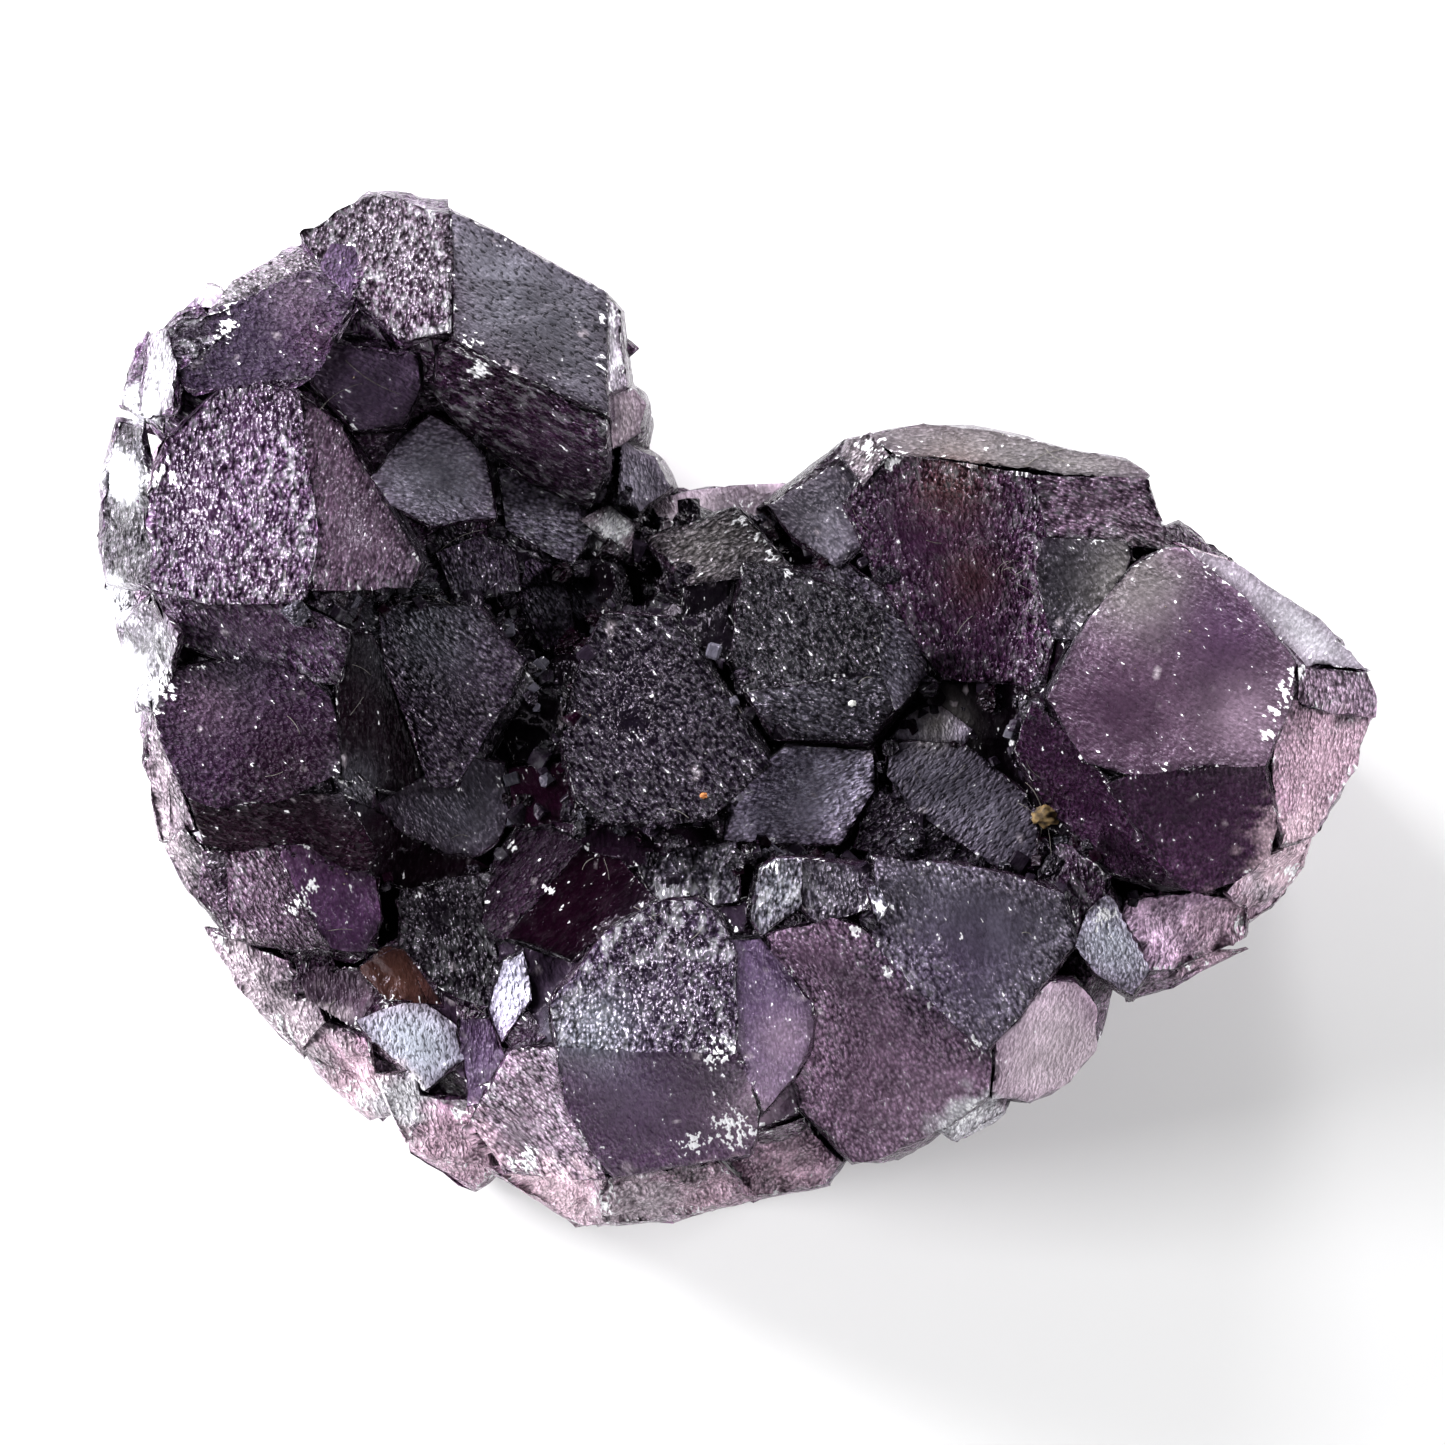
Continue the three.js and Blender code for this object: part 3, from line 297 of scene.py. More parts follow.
PATCHES: dict[str, Patch] = {
    # painted light and shade: light from inside that glows through thin parts, darker where the crystal is thick,
    # painted grey and silver sheen, and places lifted out of the painted shade of the hollows
    "top_red": Patch((-12.6, 15.6), 1.5, 0.60, Tint.PLUM),
    "top_wine": Patch((-8.8, 12.6), 1.4, 0.60, Tint.WINE),
    "left_red": Patch((-18.6, 4.8), 1.8, 0.50, Tint.PLUM),
    "right_grey": Patch((15.6, 5.1), 1.8, 0.60, Tint.SMOKE),
    "right_violet": Patch((19.0, 3.4), 2.0, 0.65, Tint.PURPLE),
    "right_band": Patch((19.9, -0.2), 1.6, 0.55, Tint.LILAC),
    "right_warm": Patch((8.3, 8.9), 1.5, 0.60, Tint.RUST),
    "nose": Patch((1.9, -12.6), 1.3, 0.50, Tint.LILAC),
    "nose_low": Patch((-4.0, -14.3), 1.9, 0.70, Tint.VIOLET),
    "nose_end": Patch((0.6, -15.4), 1.6, 0.60, Tint.LILAC),
    "nose_top": Patch((-2.8, -8.4), 1.8, 0.55, Tint.INK),
    "long_top": Patch((4.2, -9.8), 2.4, 0.60, Tint.INK),
    "long_foot": Patch((7.6, -15.6), 2.4, 0.50, Tint.LILAC),
    "small_grey": Patch((-15.0, -2.6), 0.9, 0.90, Tint.ASH),
    "big_dark": Patch((14.4, 0.4), 2.3, 0.45, Tint.PLUM),
    "rough_dark": Patch((11.4, -6.9), 1.9, 0.50, Tint.INK),
    "purple_mist": Patch((-19.8, 1.6), 1.5, 0.45, Tint.SLATE),
    "rough_violet": Patch((8.4, -10.0), 2.8, 0.65, Tint.VIOLET),
    "nose_dark": Patch((-0.8, -13.9), 1.4, 0.70, Tint.INK),
    "nose_rim": Patch((-5.6, -12.4), 1.4, 0.50, Tint.PAINTED_SHEEN),
    "pale_cube": Patch((7.7, -0.3), 0.9, 0.80, Tint.SMOKE),
    "notch_white": Patch((-4.8, 7.3), 0.9, 0.90, Tint.WHITE_AND_PAINTED_GLINT, True),
    "floor_brown": Patch((-7.2, 4.4), 1.5, 0.90, Tint.SLATE, True),
    "upper_dark": Patch((-16.2, 14.6), 1.3, 0.60, Tint.PLUM),
    "upper_mist": Patch((-17.2, 16.4), 1.2, 0.14, Tint.LILAC),
    "purple_light": Patch((-20.6, 0.6), 1.3, 0.40, Tint.MAUVE),
    "kite_crest": Patch((-12.0, 3.3), 1.8, 0.35, Tint.PAINTED_SHEEN),
    "purple_dark": Patch((-17.4, -2.2), 2.5, 0.80, Tint.WINE),
    "brown_light": Patch((9.2, 5.4), 1.2, 0.40, Tint.RUST),
    # the pale broken rim: its own pale colour, made brighter with painted light that shines through it from behind
    "rim_a": Patch((-20.6, -10.6), 2.2, 0.85, Tint.PALE, True),
    "rim_b": Patch((-17.6, -13.0), 2.2, 0.85, Tint.PALE, True),
    "rim_c": Patch((-14.4, -15.6), 2.2, 0.80, Tint.ROSE, True),
    "rim_d": Patch((-11.2, -17.6), 2.2, 0.85, Tint.PINK, True),
    "rim_e": Patch((-7.4, -19.4), 2.2, 0.85, Tint.ROSE, True),
    "rim_f": Patch((-3.8, -20.0), 2.2, 0.75, Tint.PALE, True),
    "rim_g": Patch((-0.4, -19.6), 2.0, 0.70, Tint.PINK, True),
    "rim_h": Patch((9.4, -16.2), 1.8, 0.85, Tint.WHITE_AND_PAINTED_GLINT, True),
    "rim_i": Patch((13.6, -13.6), 1.9, 0.70, Tint.PALE, True),
    "rim_j": Patch((19.6, -8.8), 2.2, 0.70, Tint.PINK, True),
    "rim_k": Patch((22.2, -5.4), 2.2, 0.70, Tint.ROSE, True),
    "rim_l": Patch((24.0, -2.0), 2.2, 0.70, Tint.PINK, True),
    "rim_m": Patch((-23.6, -5.4), 2.0, 0.70, Tint.PALE, True),
    "rim_n": Patch((-24.4, 1.4), 1.6, 0.80, Tint.WHITE_AND_PAINTED_GLINT, True),
    "rim_o": Patch((-13.3, -15.2), 1.3, 0.90, Tint.WHITE_AND_PAINTED_GLINT, True),
    "white_a": Patch((-24.0, 9.4), 1.1, 0.90, Tint.WHITE_AND_PAINTED_GLINT, True),
    "white_b": Patch((-24.5, 4.6), 1.1, 0.90, Tint.WHITE_AND_PAINTED_GLINT, True),
    "white_c": Patch((-23.2, 12.2), 0.9, 0.80, Tint.WHITE_AND_PAINTED_GLINT, True),
    # dark broken places
    "dark_a": Patch((-21.3, 14.9), 1.2, 0.95, Tint.INK, True),
    "dark_b": Patch((-24.2, 6.6), 1.0, 0.90, Tint.INK, True),
    "dark_c": Patch((-23.2, 10.4), 0.8, 0.80, Tint.SLATE, True),
    "dark_d": Patch((-11.2, 13.4), 0.9, 0.80, Tint.PLUM, True),
}

CHIPS: dict[str, tuple[float, float, float]] = {
    # where the edges are chipped white, with painted glints on them: place on the plan and reach, in millimetres
    "upper_edge": (-19.8, 15.2, 0.5), "cube_edge": (-20.8, 16.6, 0.7), "nose_chip": (-0.8, -13.0, 0.7),
    "nose_foot": (-0.2, -16.2, 0.9), "nose_foot_left": (-1.6, -16.6, 0.6), "grey_corner": (-10.4, 14.3, 0.5),
    "grey_corner_low": (-10.0, 13.3, 0.5), "sparkling_edge": (-17.1, -7.4, 0.6), "sparkling_top": (-16.7, -6.7, 0.4),
    "bevel_corner": (5.2, 10.4, 0.6), "bevel_tip": (5.9, 9.8, 0.5), "notch": (-4.6, 7.3, 0.9),
    "fringe_a": (0.3, 7.9, 0.5), "fringe_b": (0.9, 7.1, 0.5), "fringe_c": (1.5, 6.4, 0.5),
    "fringe_d": (2.0, 5.7, 0.4), "line_a": (21.8, 1.7, 0.4), "line_b": (21.3, 0.9, 0.4),
    "line_c": (20.9, 0.1, 0.4), "line_d": (20.7, -0.8, 0.35), "line_e": (20.7, -1.8, 0.35),
    "left_corner": (-22.6, 1.2, 0.9), "left_shoulder": (-22.4, 9.6, 0.8), "side_a": (-4.6, 15.6, 0.7),
    "side_b": (-4.4, 13.6, 0.6), "rim_a": (-20.4, -8.8, 0.7), "rim_b": (-17.8, -12.4, 0.8),
    "rim_c": (-14.8, -15.0, 0.8), "rim_d": (-11.0, -15.4, 0.6), "rim_e": (-8.4, -17.6, 0.7),
    "rim_f": (-5.2, -19.2, 0.7), "rim_g": (-1.6, -19.8, 0.7), "rim_h": (9.2, -15.6, 0.8),
    "rim_i": (20.2, -8.4, 0.6), "rim_j": (22.0, -6.4, 0.6), "rim_k": (23.6, -3.4, 0.5),
    "ridge": (-9.0, -5.0, 0.4), "long_edge_a": (4.5, -8.3, 0.3), "long_edge_b": (5.9, -9.8, 0.3),
    "long_edge_c": (7.5, -11.3, 0.35), "long_edge_d": (9.2, -12.9, 0.35), "sliver": (5.5, -7.4, 0.4),
    "ridge_low": (-7.4, -6.7, 0.4), "wing": (14.4, -7.9, 0.6), "scale": (1.2, -5.9, 0.4),
}

DARK_HOLLOWS: tuple[tuple[float, float, float, float], ...] = (
    # where no light gets in: middle on the plan and reach, each to the right and up, in millimetres
    (-5.0, 2.5, 7.0, 4.5),
    (10.4, -1.0, 2.4, 1.8),
)


class SeededNoise:
    """Smooth noise through space, the same in each run."""

    def __init__(self, seed: int) -> None:
        """Draws the noise's table.

        Args:
            seed: Number that the noise follows from.
        """
        self.size = 4096
        random = np.random.default_rng(seed)
        self.values = random.uniform(-1.0, 1.0, self.size)
        self.order = random.permutation(self.size)

    def corner(self, cell: np.ndarray) -> np.ndarray:
        """Gives the value at whole-numbered places.

        Args:
            cell: Whole-numbered places, one in each row.

        Returns:
            One value from -1 to 1 for each.
        """
        found = self.order[cell[:, 0] % self.size]
        found = self.order[(found + cell[:, 1]) % self.size]
        return self.values[self.order[(found + cell[:, 2]) % self.size]]

    def at(self, places: np.ndarray) -> np.ndarray:
        """Gives the noise at places.

        Args:
            places: One place in each row.

        Returns:
            One value from -1 to 1 for each.
        """
        cell = np.floor(places).astype(np.int64)
        part = places - cell
        part = part * part * (3.0 - 2.0 * part)
        total = np.zeros(len(places))
        for step in np.ndindex(2, 2, 2):
            share = np.prod(np.where(step, part, 1.0 - part), axis=1)
            total += share * self.corner(cell + np.array(step))
        return total

    def layered(self, places: np.ndarray, layers: int) -> np.ndarray:
        """Adds finer layers of noise to the first.

        Args:
            places: One place in each row.
            layers: How many layers.

        Returns:
            One value for each, about -1 to 1.
        """
        total = np.zeros(len(places))
        for layer in range(layers):
            total += self.at(places * 2.03**layer + 17.0 * layer) * 0.5**layer
        return total / (2.0 - 0.5 ** (layers - 1))

    def hillocks(self, places: np.ndarray) -> tuple[np.ndarray, np.ndarray]:
        """Finds the nearest of the points strewn over a plane, one in each unit square.

        Args:
            places: Two coordinates and the number of the plane, in each row.

        Returns:
            The square distance to the nearest point, and that point's own chance from -1 to 1.
        """
        cell = np.floor(places).astype(np.int64)
        best = np.full(len(places), 9.0)
        chance = np.zeros(len(places))
        for step in np.ndindex(3, 3):
            other = cell + np.array([step[0] - 1, step[1] - 1, 0])
            east = other[:, 0] + 0.5 + 0.42 * self.corner(other)
            north = other[:, 1] + 0.5 + 0.42 * self.corner(other + 1000)
            away = np.maximum(np.abs(places[:, 0] - east), np.abs(places[:, 1] - north))
            nearer = away < best
            best = np.where(nearer, away, best)
            chance = np.where(nearer, self.corner(other + 2000), chance)
        return best, chance


def smooth_step(low: float, high: float, value: np.ndarray) -> np.ndarray:
    """Rises smoothly from 0 at low to 1 at high.

    Args:
        low: Where the rise starts.
        high: Where it ends.
        value: The numbers to look up.

    Returns:
        The height of the rise at each.
    """
    part = np.clip((value - low) / (high - low), 0.0, 1.0)
    return part * part * (3.0 - 2.0 * part)


class Cloud(Enum):
    """The noises over the crystals: how fine each is, how many layers it has and where it starts."""

    FILL = (0.6, 2, 0.0)
    NIBBLE = (1.1, 3, 40.0)
    PATCH = (0.42, 3, 11.0)
    FLECK = (1.5, 2, 70.0)
    EDGE_LIGHT = (0.5, 2, 130.0)
    EDGE_WEAR_AND_GLINT = (0.8, 2, 300.0)
    TATTER = (1.9, 3, 500.0)

    def over(self, noise: SeededNoise, points: np.ndarray) -> np.ndarray:
        """Gives this noise at each of the points."""
        scale, layers, start = self.value
        return noise.layered(points * scale + start, layers)


def dots(one: np.ndarray, other: np.ndarray) -> np.ndarray:
    """Gives the dot product of each row of one table with the same row of the other."""
    return np.einsum("ij,ij->i", one, other)


def deselect_all() -> None:
    """Leaves object mode's selection empty."""
    bpy.ops.object.select_all(action="DESELECT")


def make_active(piece: bpy.types.Object) -> None:
    """Selects one piece alone and makes it the active one."""
    deselect_all()
    piece.select_set(True)
    bpy.context.view_layer.objects.active = piece


def join_pieces(parts: list[bpy.types.Object], name: str, finish: bpy.types.Material) -> bpy.types.Object:
    """Joins meshes into one piece that sits at the origin.

    Args:
        parts: The meshes.
        name: The piece's name.
        finish: Its material.

    Returns:
        The piece.
    """
    deselect_all()
    for part in parts:
        part.select_set(True)
    bpy.context.view_layer.objects.active = parts[0]
    bpy.ops.object.join()
    piece = bpy.context.object
    piece.name = name
    bpy.ops.object.transform_apply(location=True, rotation=True, scale=True)
    piece.data.materials.append(finish)
    return piece


def surface_tree(mesh: bpy.types.Mesh) -> BVHTree:
    """Makes a mesh ready for finding where rays meet it."""
    return BVHTree.FromPolygons([v.co for v in mesh.vertices], [p.vertices for p in mesh.polygons])


def read_numbers(items: bpy.types.bpy_prop_collection, name: str, kind: type, width: int = 1) -> np.ndarray:
    """Reads one property of many items at once.

    Args:
        items: The mesh's vertices, edges, loops or faces.
        name: The property.
        kind: Its number type.
        width: How many numbers it has for each item.

    Returns:
        The numbers, one row for each item.
    """
    found = np.empty(len(items) * width, kind)
    items.foreach_get(name, found)
    return found.reshape(-1, width) if width > 1 else found


def write_attribute(mesh: bpy.types.Mesh, name: str, kind: str, domain: str, numbers: np.ndarray) -> None:
    """Stores numbers on a mesh, for its material to read.

    Args:
        mesh: The mesh.
        name: The attribute's name.
        kind: Its type, as Blender names it.
        domain: What it is stored on, as Blender names it.
        numbers: The numbers, one row for each item.
    """
    layer = mesh.attributes.new(name, kind, domain)
    field_name = {"FLOAT": "value", "FLOAT_VECTOR": "vector", "FLOAT_COLOR": "color"}[kind]
    layer.data.foreach_set(field_name, np.ascontiguousarray(numbers, np.float32).ravel())


class NodeBench:
    """Adds and joins the nodes of one node tree."""

    def __init__(self, tree: bpy.types.NodeTree) -> None:
        """Takes a node tree to work on.

        Args:
            tree: The tree, which is emptied.
        """
        self.tree = tree
        tree.nodes.clear()

    def add(self, kind: str, inputs: dict | None = None, **settings: object) -> bpy.types.Node:
        """Adds a node.

        Args:
            kind: The node's type.
            inputs: For each input, a value or the output that feeds it.
            settings: The node's own settings.

        Returns:
            The node.
        """
        node = self.tree.nodes.new(kind)
        for name, value in settings.items():
            setattr(node, name, value)
        for name, value in (inputs or {}).items():
            self.feed(node, name, value)
        return node

    def feed(self, node: bpy.types.Node, name: str | int, value: object) -> None:
        """Sets an input to a value, or joins it to the output that feeds it.

        Args:
            node: The node.
            name: The input's name or number.
            value: The value or the output.
        """
        if isinstance(value, bpy.types.NodeSocket):
            self.tree.links.new(value, node.inputs[name])
        else:
            node.inputs[name].default_value = value

    def maths(self, operation: str, *values: object) -> bpy.types.NodeSocket:
        """Adds a Math node and returns its output."""
        return self.add("ShaderNodeMath", dict(enumerate(values)), operation=operation).outputs[0]

    def vectors(self, operation: str, *values: object) -> bpy.types.Node:
        """Adds a Vector Math node."""
        return self.add("ShaderNodeVectorMath", dict(enumerate(values)), operation=operation)

    def scaled(self, value: bpy.types.NodeSocket, low: float, high: float, to_low: float, to_high: float
               ) -> bpy.types.NodeSocket:
        """Maps a range of values onto another, and stays inside it.

        Args:
            value: What is mapped.
            low: Start of its range.
            high: End of its range.
            to_low: What the start becomes.
            to_high: What the end becomes.

        Returns:
            The mapped value.
        """
        inputs = {"Value": value, "From Min": low, "From Max": high, "To Min": to_low, "To Max": to_high}
        return self.add("ShaderNodeMapRange", inputs, clamp=True).outputs["Result"]

    def blend(self, share: object, one: object, other: object, how: str = "MIX") -> bpy.types.NodeSocket:
        """Mixes two colours.

        Args:
            share: How much of the second there is.
            one: The first colour.
            other: The second colour.
            how: The way of mixing, as Blender names it.

        Returns:
            The mixed colour.
        """
        node = self.add("ShaderNodeMix", data_type="RGBA", blend_type=how)
        for number, value in ((MIX_SHARE, share), (MIX_ONE, one), (MIX_OTHER, other)):
            self.feed(node, number, value)
        return node.outputs[MIX_RESULT]


def rgba(colour: Colour) -> tuple[float, float, float, float]:
    """Adds full opacity to a colour."""
    return (*colour, 1.0)


@dataclass(frozen=True)
class Textures:
    """The patterns over a crystal face, each an output of a node.

    Args:
        away: Distance from the middle of the facet that a place is on.
        leaning: Height of that facet, which leans its own way.
        waves: Broad waves along the grain.
        fine: Fine waves along the grain.
        unpitted: 1 outside the pits, 0 inside.
    """

    away: bpy.types.NodeSocket
    leaning: bpy.types.NodeSocket
    waves: bpy.types.NodeSocket
    fine: bpy.types.NodeSocket
    unpitted: bpy.types.NodeSocket


@dataclass(frozen=True)
class FluoriteFinish:
    """Purple fluorite: frosted or glassy faces over a clear, strongly coloured inside.

    Args:
        refraction: How strongly it bends light.
        see_through: Share of the light that goes in.
        inside: Colour that the light takes inside.
        density: How fast it takes it.
        worn: Colour of chipped edges, and of the painted glints along them.
        sheen: Colour of reflections.
        facet_scale: Small facets to a millimetre.
        facet_lean: How far the facets tilt.
        wave_scale: Broad waves to a millimetre.
        fine_scale: Fine waves to a millimetre.
        wrinkle_height: Height of the ripples between the fine waves, in millimetres.
        pit_depth: Depth of the pits, in millimetres.
        wave_height: Height of the broad waves on every face, in millimetres.
        darkest: Least brightness that the painted shade leaves in the gaps between the grains.
    """

    refraction: float = 1.434
    see_through: float = 0.12
    inside: Colour = (0.50, 0.26, 0.66)
    density: float = 900.0
    worn: Colour = (0.94, 0.93, 0.97)
    sheen: Colour = (0.93, 0.80, 1.0)
    facet_scale: float = 7.2
    facet_lean: float = 0.65
    wave_scale: float = 1.5
    fine_scale: float = 3.8
    wrinkle_height: float = 0.14
    pit_depth: float = 0.045
    wave_height: float = 0.03
    darkest: float = 0.04

    def textures(self, bench: NodeBench, pattern: bpy.types.NodeSocket) -> Textures:
        """Lays the patterns over a face.

        Args:
            bench: The material's nodes.
            pattern: Place on the face along its grain, in millimetres.

        Returns:
            The patterns.
        """
        # small facets, each tilted its own way, as on an etched or frosted face
        stretched = bench.add("ShaderNodeMapping", {"Vector": pattern, "Scale": (1.0, 0.7, 1.0)}).outputs[0]
        facets = bench.add("ShaderNodeTexVoronoi",
                           {"Vector": stretched, "Scale": self.facet_scale, "Randomness": 1.0},
                           voronoi_dimensions="2D", feature="F1")
        local = bench.vectors("SUBTRACT", stretched, facets.outputs["Position"])
        lean = self.facet_lean
        tilt = bench.vectors("MULTIPLY_ADD", facets.outputs["Color"], (2 * lean, 2 * lean, 0.0), (-lean, -lean, 0.0))
        leaning = bench.vectors("DOT_PRODUCT", local.outputs[0], tilt.outputs[0]).outputs["Value"]

        along = bench.add("ShaderNodeMapping", {"Vector": pattern, "Scale": (1.6, 0.9, 1.0)}).outputs[0]
        waves, fine = (
            bench.add("ShaderNodeTexNoise", {"Vector": along, "Scale": scale, "Detail": detail, "Roughness": rough},
                      noise_dimensions="2D").outputs["Fac"]
            for scale, detail, rough in ((self.wave_scale, 2.0, 0.5), (self.fine_scale, 1.6, 0.6)))
        return Textures(facets.outputs["Distance"], leaning, waves, fine, bench.scaled(fine, 0.30, 0.42, 0.0, 1.0))

    def bump(self, bench: NodeBench, look: Textures, sparkle: bpy.types.NodeSocket, ripple: bpy.types.NodeSocket,
             pits: bpy.types.NodeSocket) -> bpy.types.NodeSocket:
        """Turns the patterns into small relief.

        Args:
            bench: The material's nodes.
            look: The patterns.
            sparkle: Share of the facets.
            ripple: Share of the ripples.
            pits: Share of the pits.

        Returns:
            The normal of the relief.
        """
        maths = bench.maths
        domes = maths("MULTIPLY_ADD", look.away, -0.02, maths("MULTIPLY", look.waves, 0.10))
        crests = bench.scaled(look.fine, 0.44, 0.66, 0.0, 1.0)
        wrinkles = maths("MULTIPLY_ADD", crests, self.wrinkle_height, domes)
        height = maths("MULTIPLY", maths("MULTIPLY_ADD", look.away, -0.05, look.leaning), sparkle)
        height = maths("MULTIPLY_ADD", wrinkles, ripple, height)
        height = maths("MULTIPLY_ADD", maths("MULTIPLY", look.unpitted, self.pit_depth), pits, height)
        height = maths("MULTIPLY_ADD", look.waves, self.wave_height, height)
        return bench.add("ShaderNodeBump", {"Height": height, "Strength": 1.0, "Distance": MM}).outputs["Normal"]

    def gaps(self, bench: NodeBench, look: Textures, rough: bpy.types.NodeSocket, pits: bpy.types.NodeSocket,
             colour: bpy.types.NodeSocket) -> bpy.types.NodeSocket:
        """Paints shade into the gaps between the grains and into the pits, and painted highlight on the grains' tops,
        the more so the rougher and the darker the face is.

        Args:
            bench: The material's nodes.
            look: The patterns.
            rough: Share of the facets and ripples together.
            pits: Share of the pits.
            colour: The face's colour.

        Returns:
            The brightness of each place, about 1 on the whole.
        """
        maths, scaled = bench.maths, bench.scaled
        bright = maths("MULTIPLY", scaled(look.away, 0.15, 0.62, 1.40, 0.34), scaled(look.fine, 0.34, 0.62, 0.42, 1.55))
        bright = maths("MULTIPLY", bright, scaled(look.waves, 0.32, 0.68, 0.76, 1.28))
        share = maths("MINIMUM", maths("MULTIPLY_ADD", rough, 0.85, 0.08), 0.95)
        paleness = bench.add("ShaderNodeRGBToBW", {"Color": colour}).outputs[0]
        share = maths("MULTIPLY", share, scaled(paleness, 0.10, 0.50, 1.0, 0.45))
        painted_grain_shading = maths("MULTIPLY_ADD", maths("SUBTRACT", bright, 1.0), share, 1.0)
        pitting = maths("MULTIPLY", maths("SUBTRACT", 1.0, look.unpitted), maths("MULTIPLY", pits, 0.55))
        return maths("MAXIMUM", maths("SUBTRACT", painted_grain_shading, pitting), self.darkest)

    def material(self) -> bpy.types.Material:
        """Builds the material.

        Returns:
            The material, which reads the attributes that CrystalSkin writes.
        """
        made = bpy.data.materials.new("fluorite_crystal")
        made.use_nodes = True
        bench = NodeBench(made.node_tree)
        add, maths, scaled, blend = bench.add, bench.maths, bench.scaled, bench.blend
        relief, colouring, pattern, edge, shine = (
            add("ShaderNodeAttribute", attribute_name=name).outputs
            for name in ("relief", "tint", "pattern", "edge", "shine"))
        shares = add("ShaderNodeSeparateColor", {"Color": relief["Color"]})
        sparkle, ripple, pits = (shares.outputs[i] for i in range(3))

        look = self.textures(bench, pattern["Vector"])
        normal = self.bump(bench, look, sparkle, ripple, pits)
        painted_grain_shading = self.gaps(bench, look, maths("ADD", sparkle, ripple), pits, colouring["Color"])

        worked = add("ShaderNodeHueSaturation", {"Color": colouring["Color"], "Value": painted_grain_shading}).outputs[0]
        # painted glints: white flecks on the grain of sparkling and rippled faces, standing for the light that they
        # catch
        painted_glints = maths("MULTIPLY", colouring["Alpha"], scaled(look.waves, 0.48, 0.66, 0.0, 0.25))
        painted_glints = maths("MULTIPLY_ADD", scaled(look.fine, 0.56, 0.70, 0.0, 0.05), ripple, painted_glints)
        frosted = blend(painted_glints, worked, rgba(Tint.WHITE_AND_PAINTED_GLINT.value))
        # chipped white edges, which also carry painted glints and highlight lines along the ridges
        ragged = maths("SUBTRACT", maths("ADD", look.fine, look.waves), 1.0)
        chipped = scaled(maths("MULTIPLY_ADD", ragged, 1.3, edge["Fac"]), 0.48, 0.58, 0.0, 0.95)
        uneven = maths("MULTIPLY_ADD", maths("SUBTRACT", look.waves, 0.5), 0.25, relief["Alpha"])
        # reflections are weaker in the painted shade of the grain gaps and stronger on the grain tops
        shader = add("ShaderNodeBsdfPrincipled", {
            "Base Color": blend(chipped, frosted, rgba(self.worn)), "Roughness": uneven, "IOR": self.refraction,
            "Normal": normal, "Transmission Weight": self.see_through, "Specular Tint": rgba(self.sheen),
            "Specular IOR Level": maths("MULTIPLY", shine["Fac"], maths("MULTIPLY", painted_grain_shading, painted_grain_shading)),
        })
        inside = add("ShaderNodeVolumeAbsorption", {"Color": rgba(self.inside), "Density": self.density})
        add("ShaderNodeOutputMaterial", {"Surface": shader.outputs[0], "Volume": inside.outputs[0]})
        return made


@dataclass
class Surface:
    """The crystals' finely split mesh as numbers, before it is worked. Lengths are in millimetres.

    Args:
        points: The vertices.
        corners: The three vertices of each triangle.
        label: The flat face that each triangle belongs to.
        normals: The triangles' normals.
        area: Their areas, in square metres.
        ends: The two vertices of each edge.
        far: How far each vertex is from a ridge.
        deep: How far it is from a valley.
        level: Its height once small growth has filled the clefts.
    """

    points: np.ndarray
    corners: np.ndarray
    label: np.ndarray
    normals: np.ndarray
    area: np.ndarray
    ends: np.ndarray
    far: np.ndarray
    deep: np.ndarray
    level: np.ndarray


@dataclass
class FaceTable:
    """The flat faces of the cluster, one row for each.

    Args:
        facing: Their normals.
        middle: Their middles, in millimetres.
        size: Their areas, in square millimetres.
        u_axis: Directions across the grain.
        v_axis: Directions along the grain.
        tint: Their colours.
        grain: Every number of their kind of surface, by its name in Grain.
    """

    facing: np.ndarray
    middle: np.ndarray
    size: np.ndarray
    u_axis: np.ndarray
    v_axis: np.ndarray
    tint: np.ndarray
    grain: dict[str, np.ndarray]


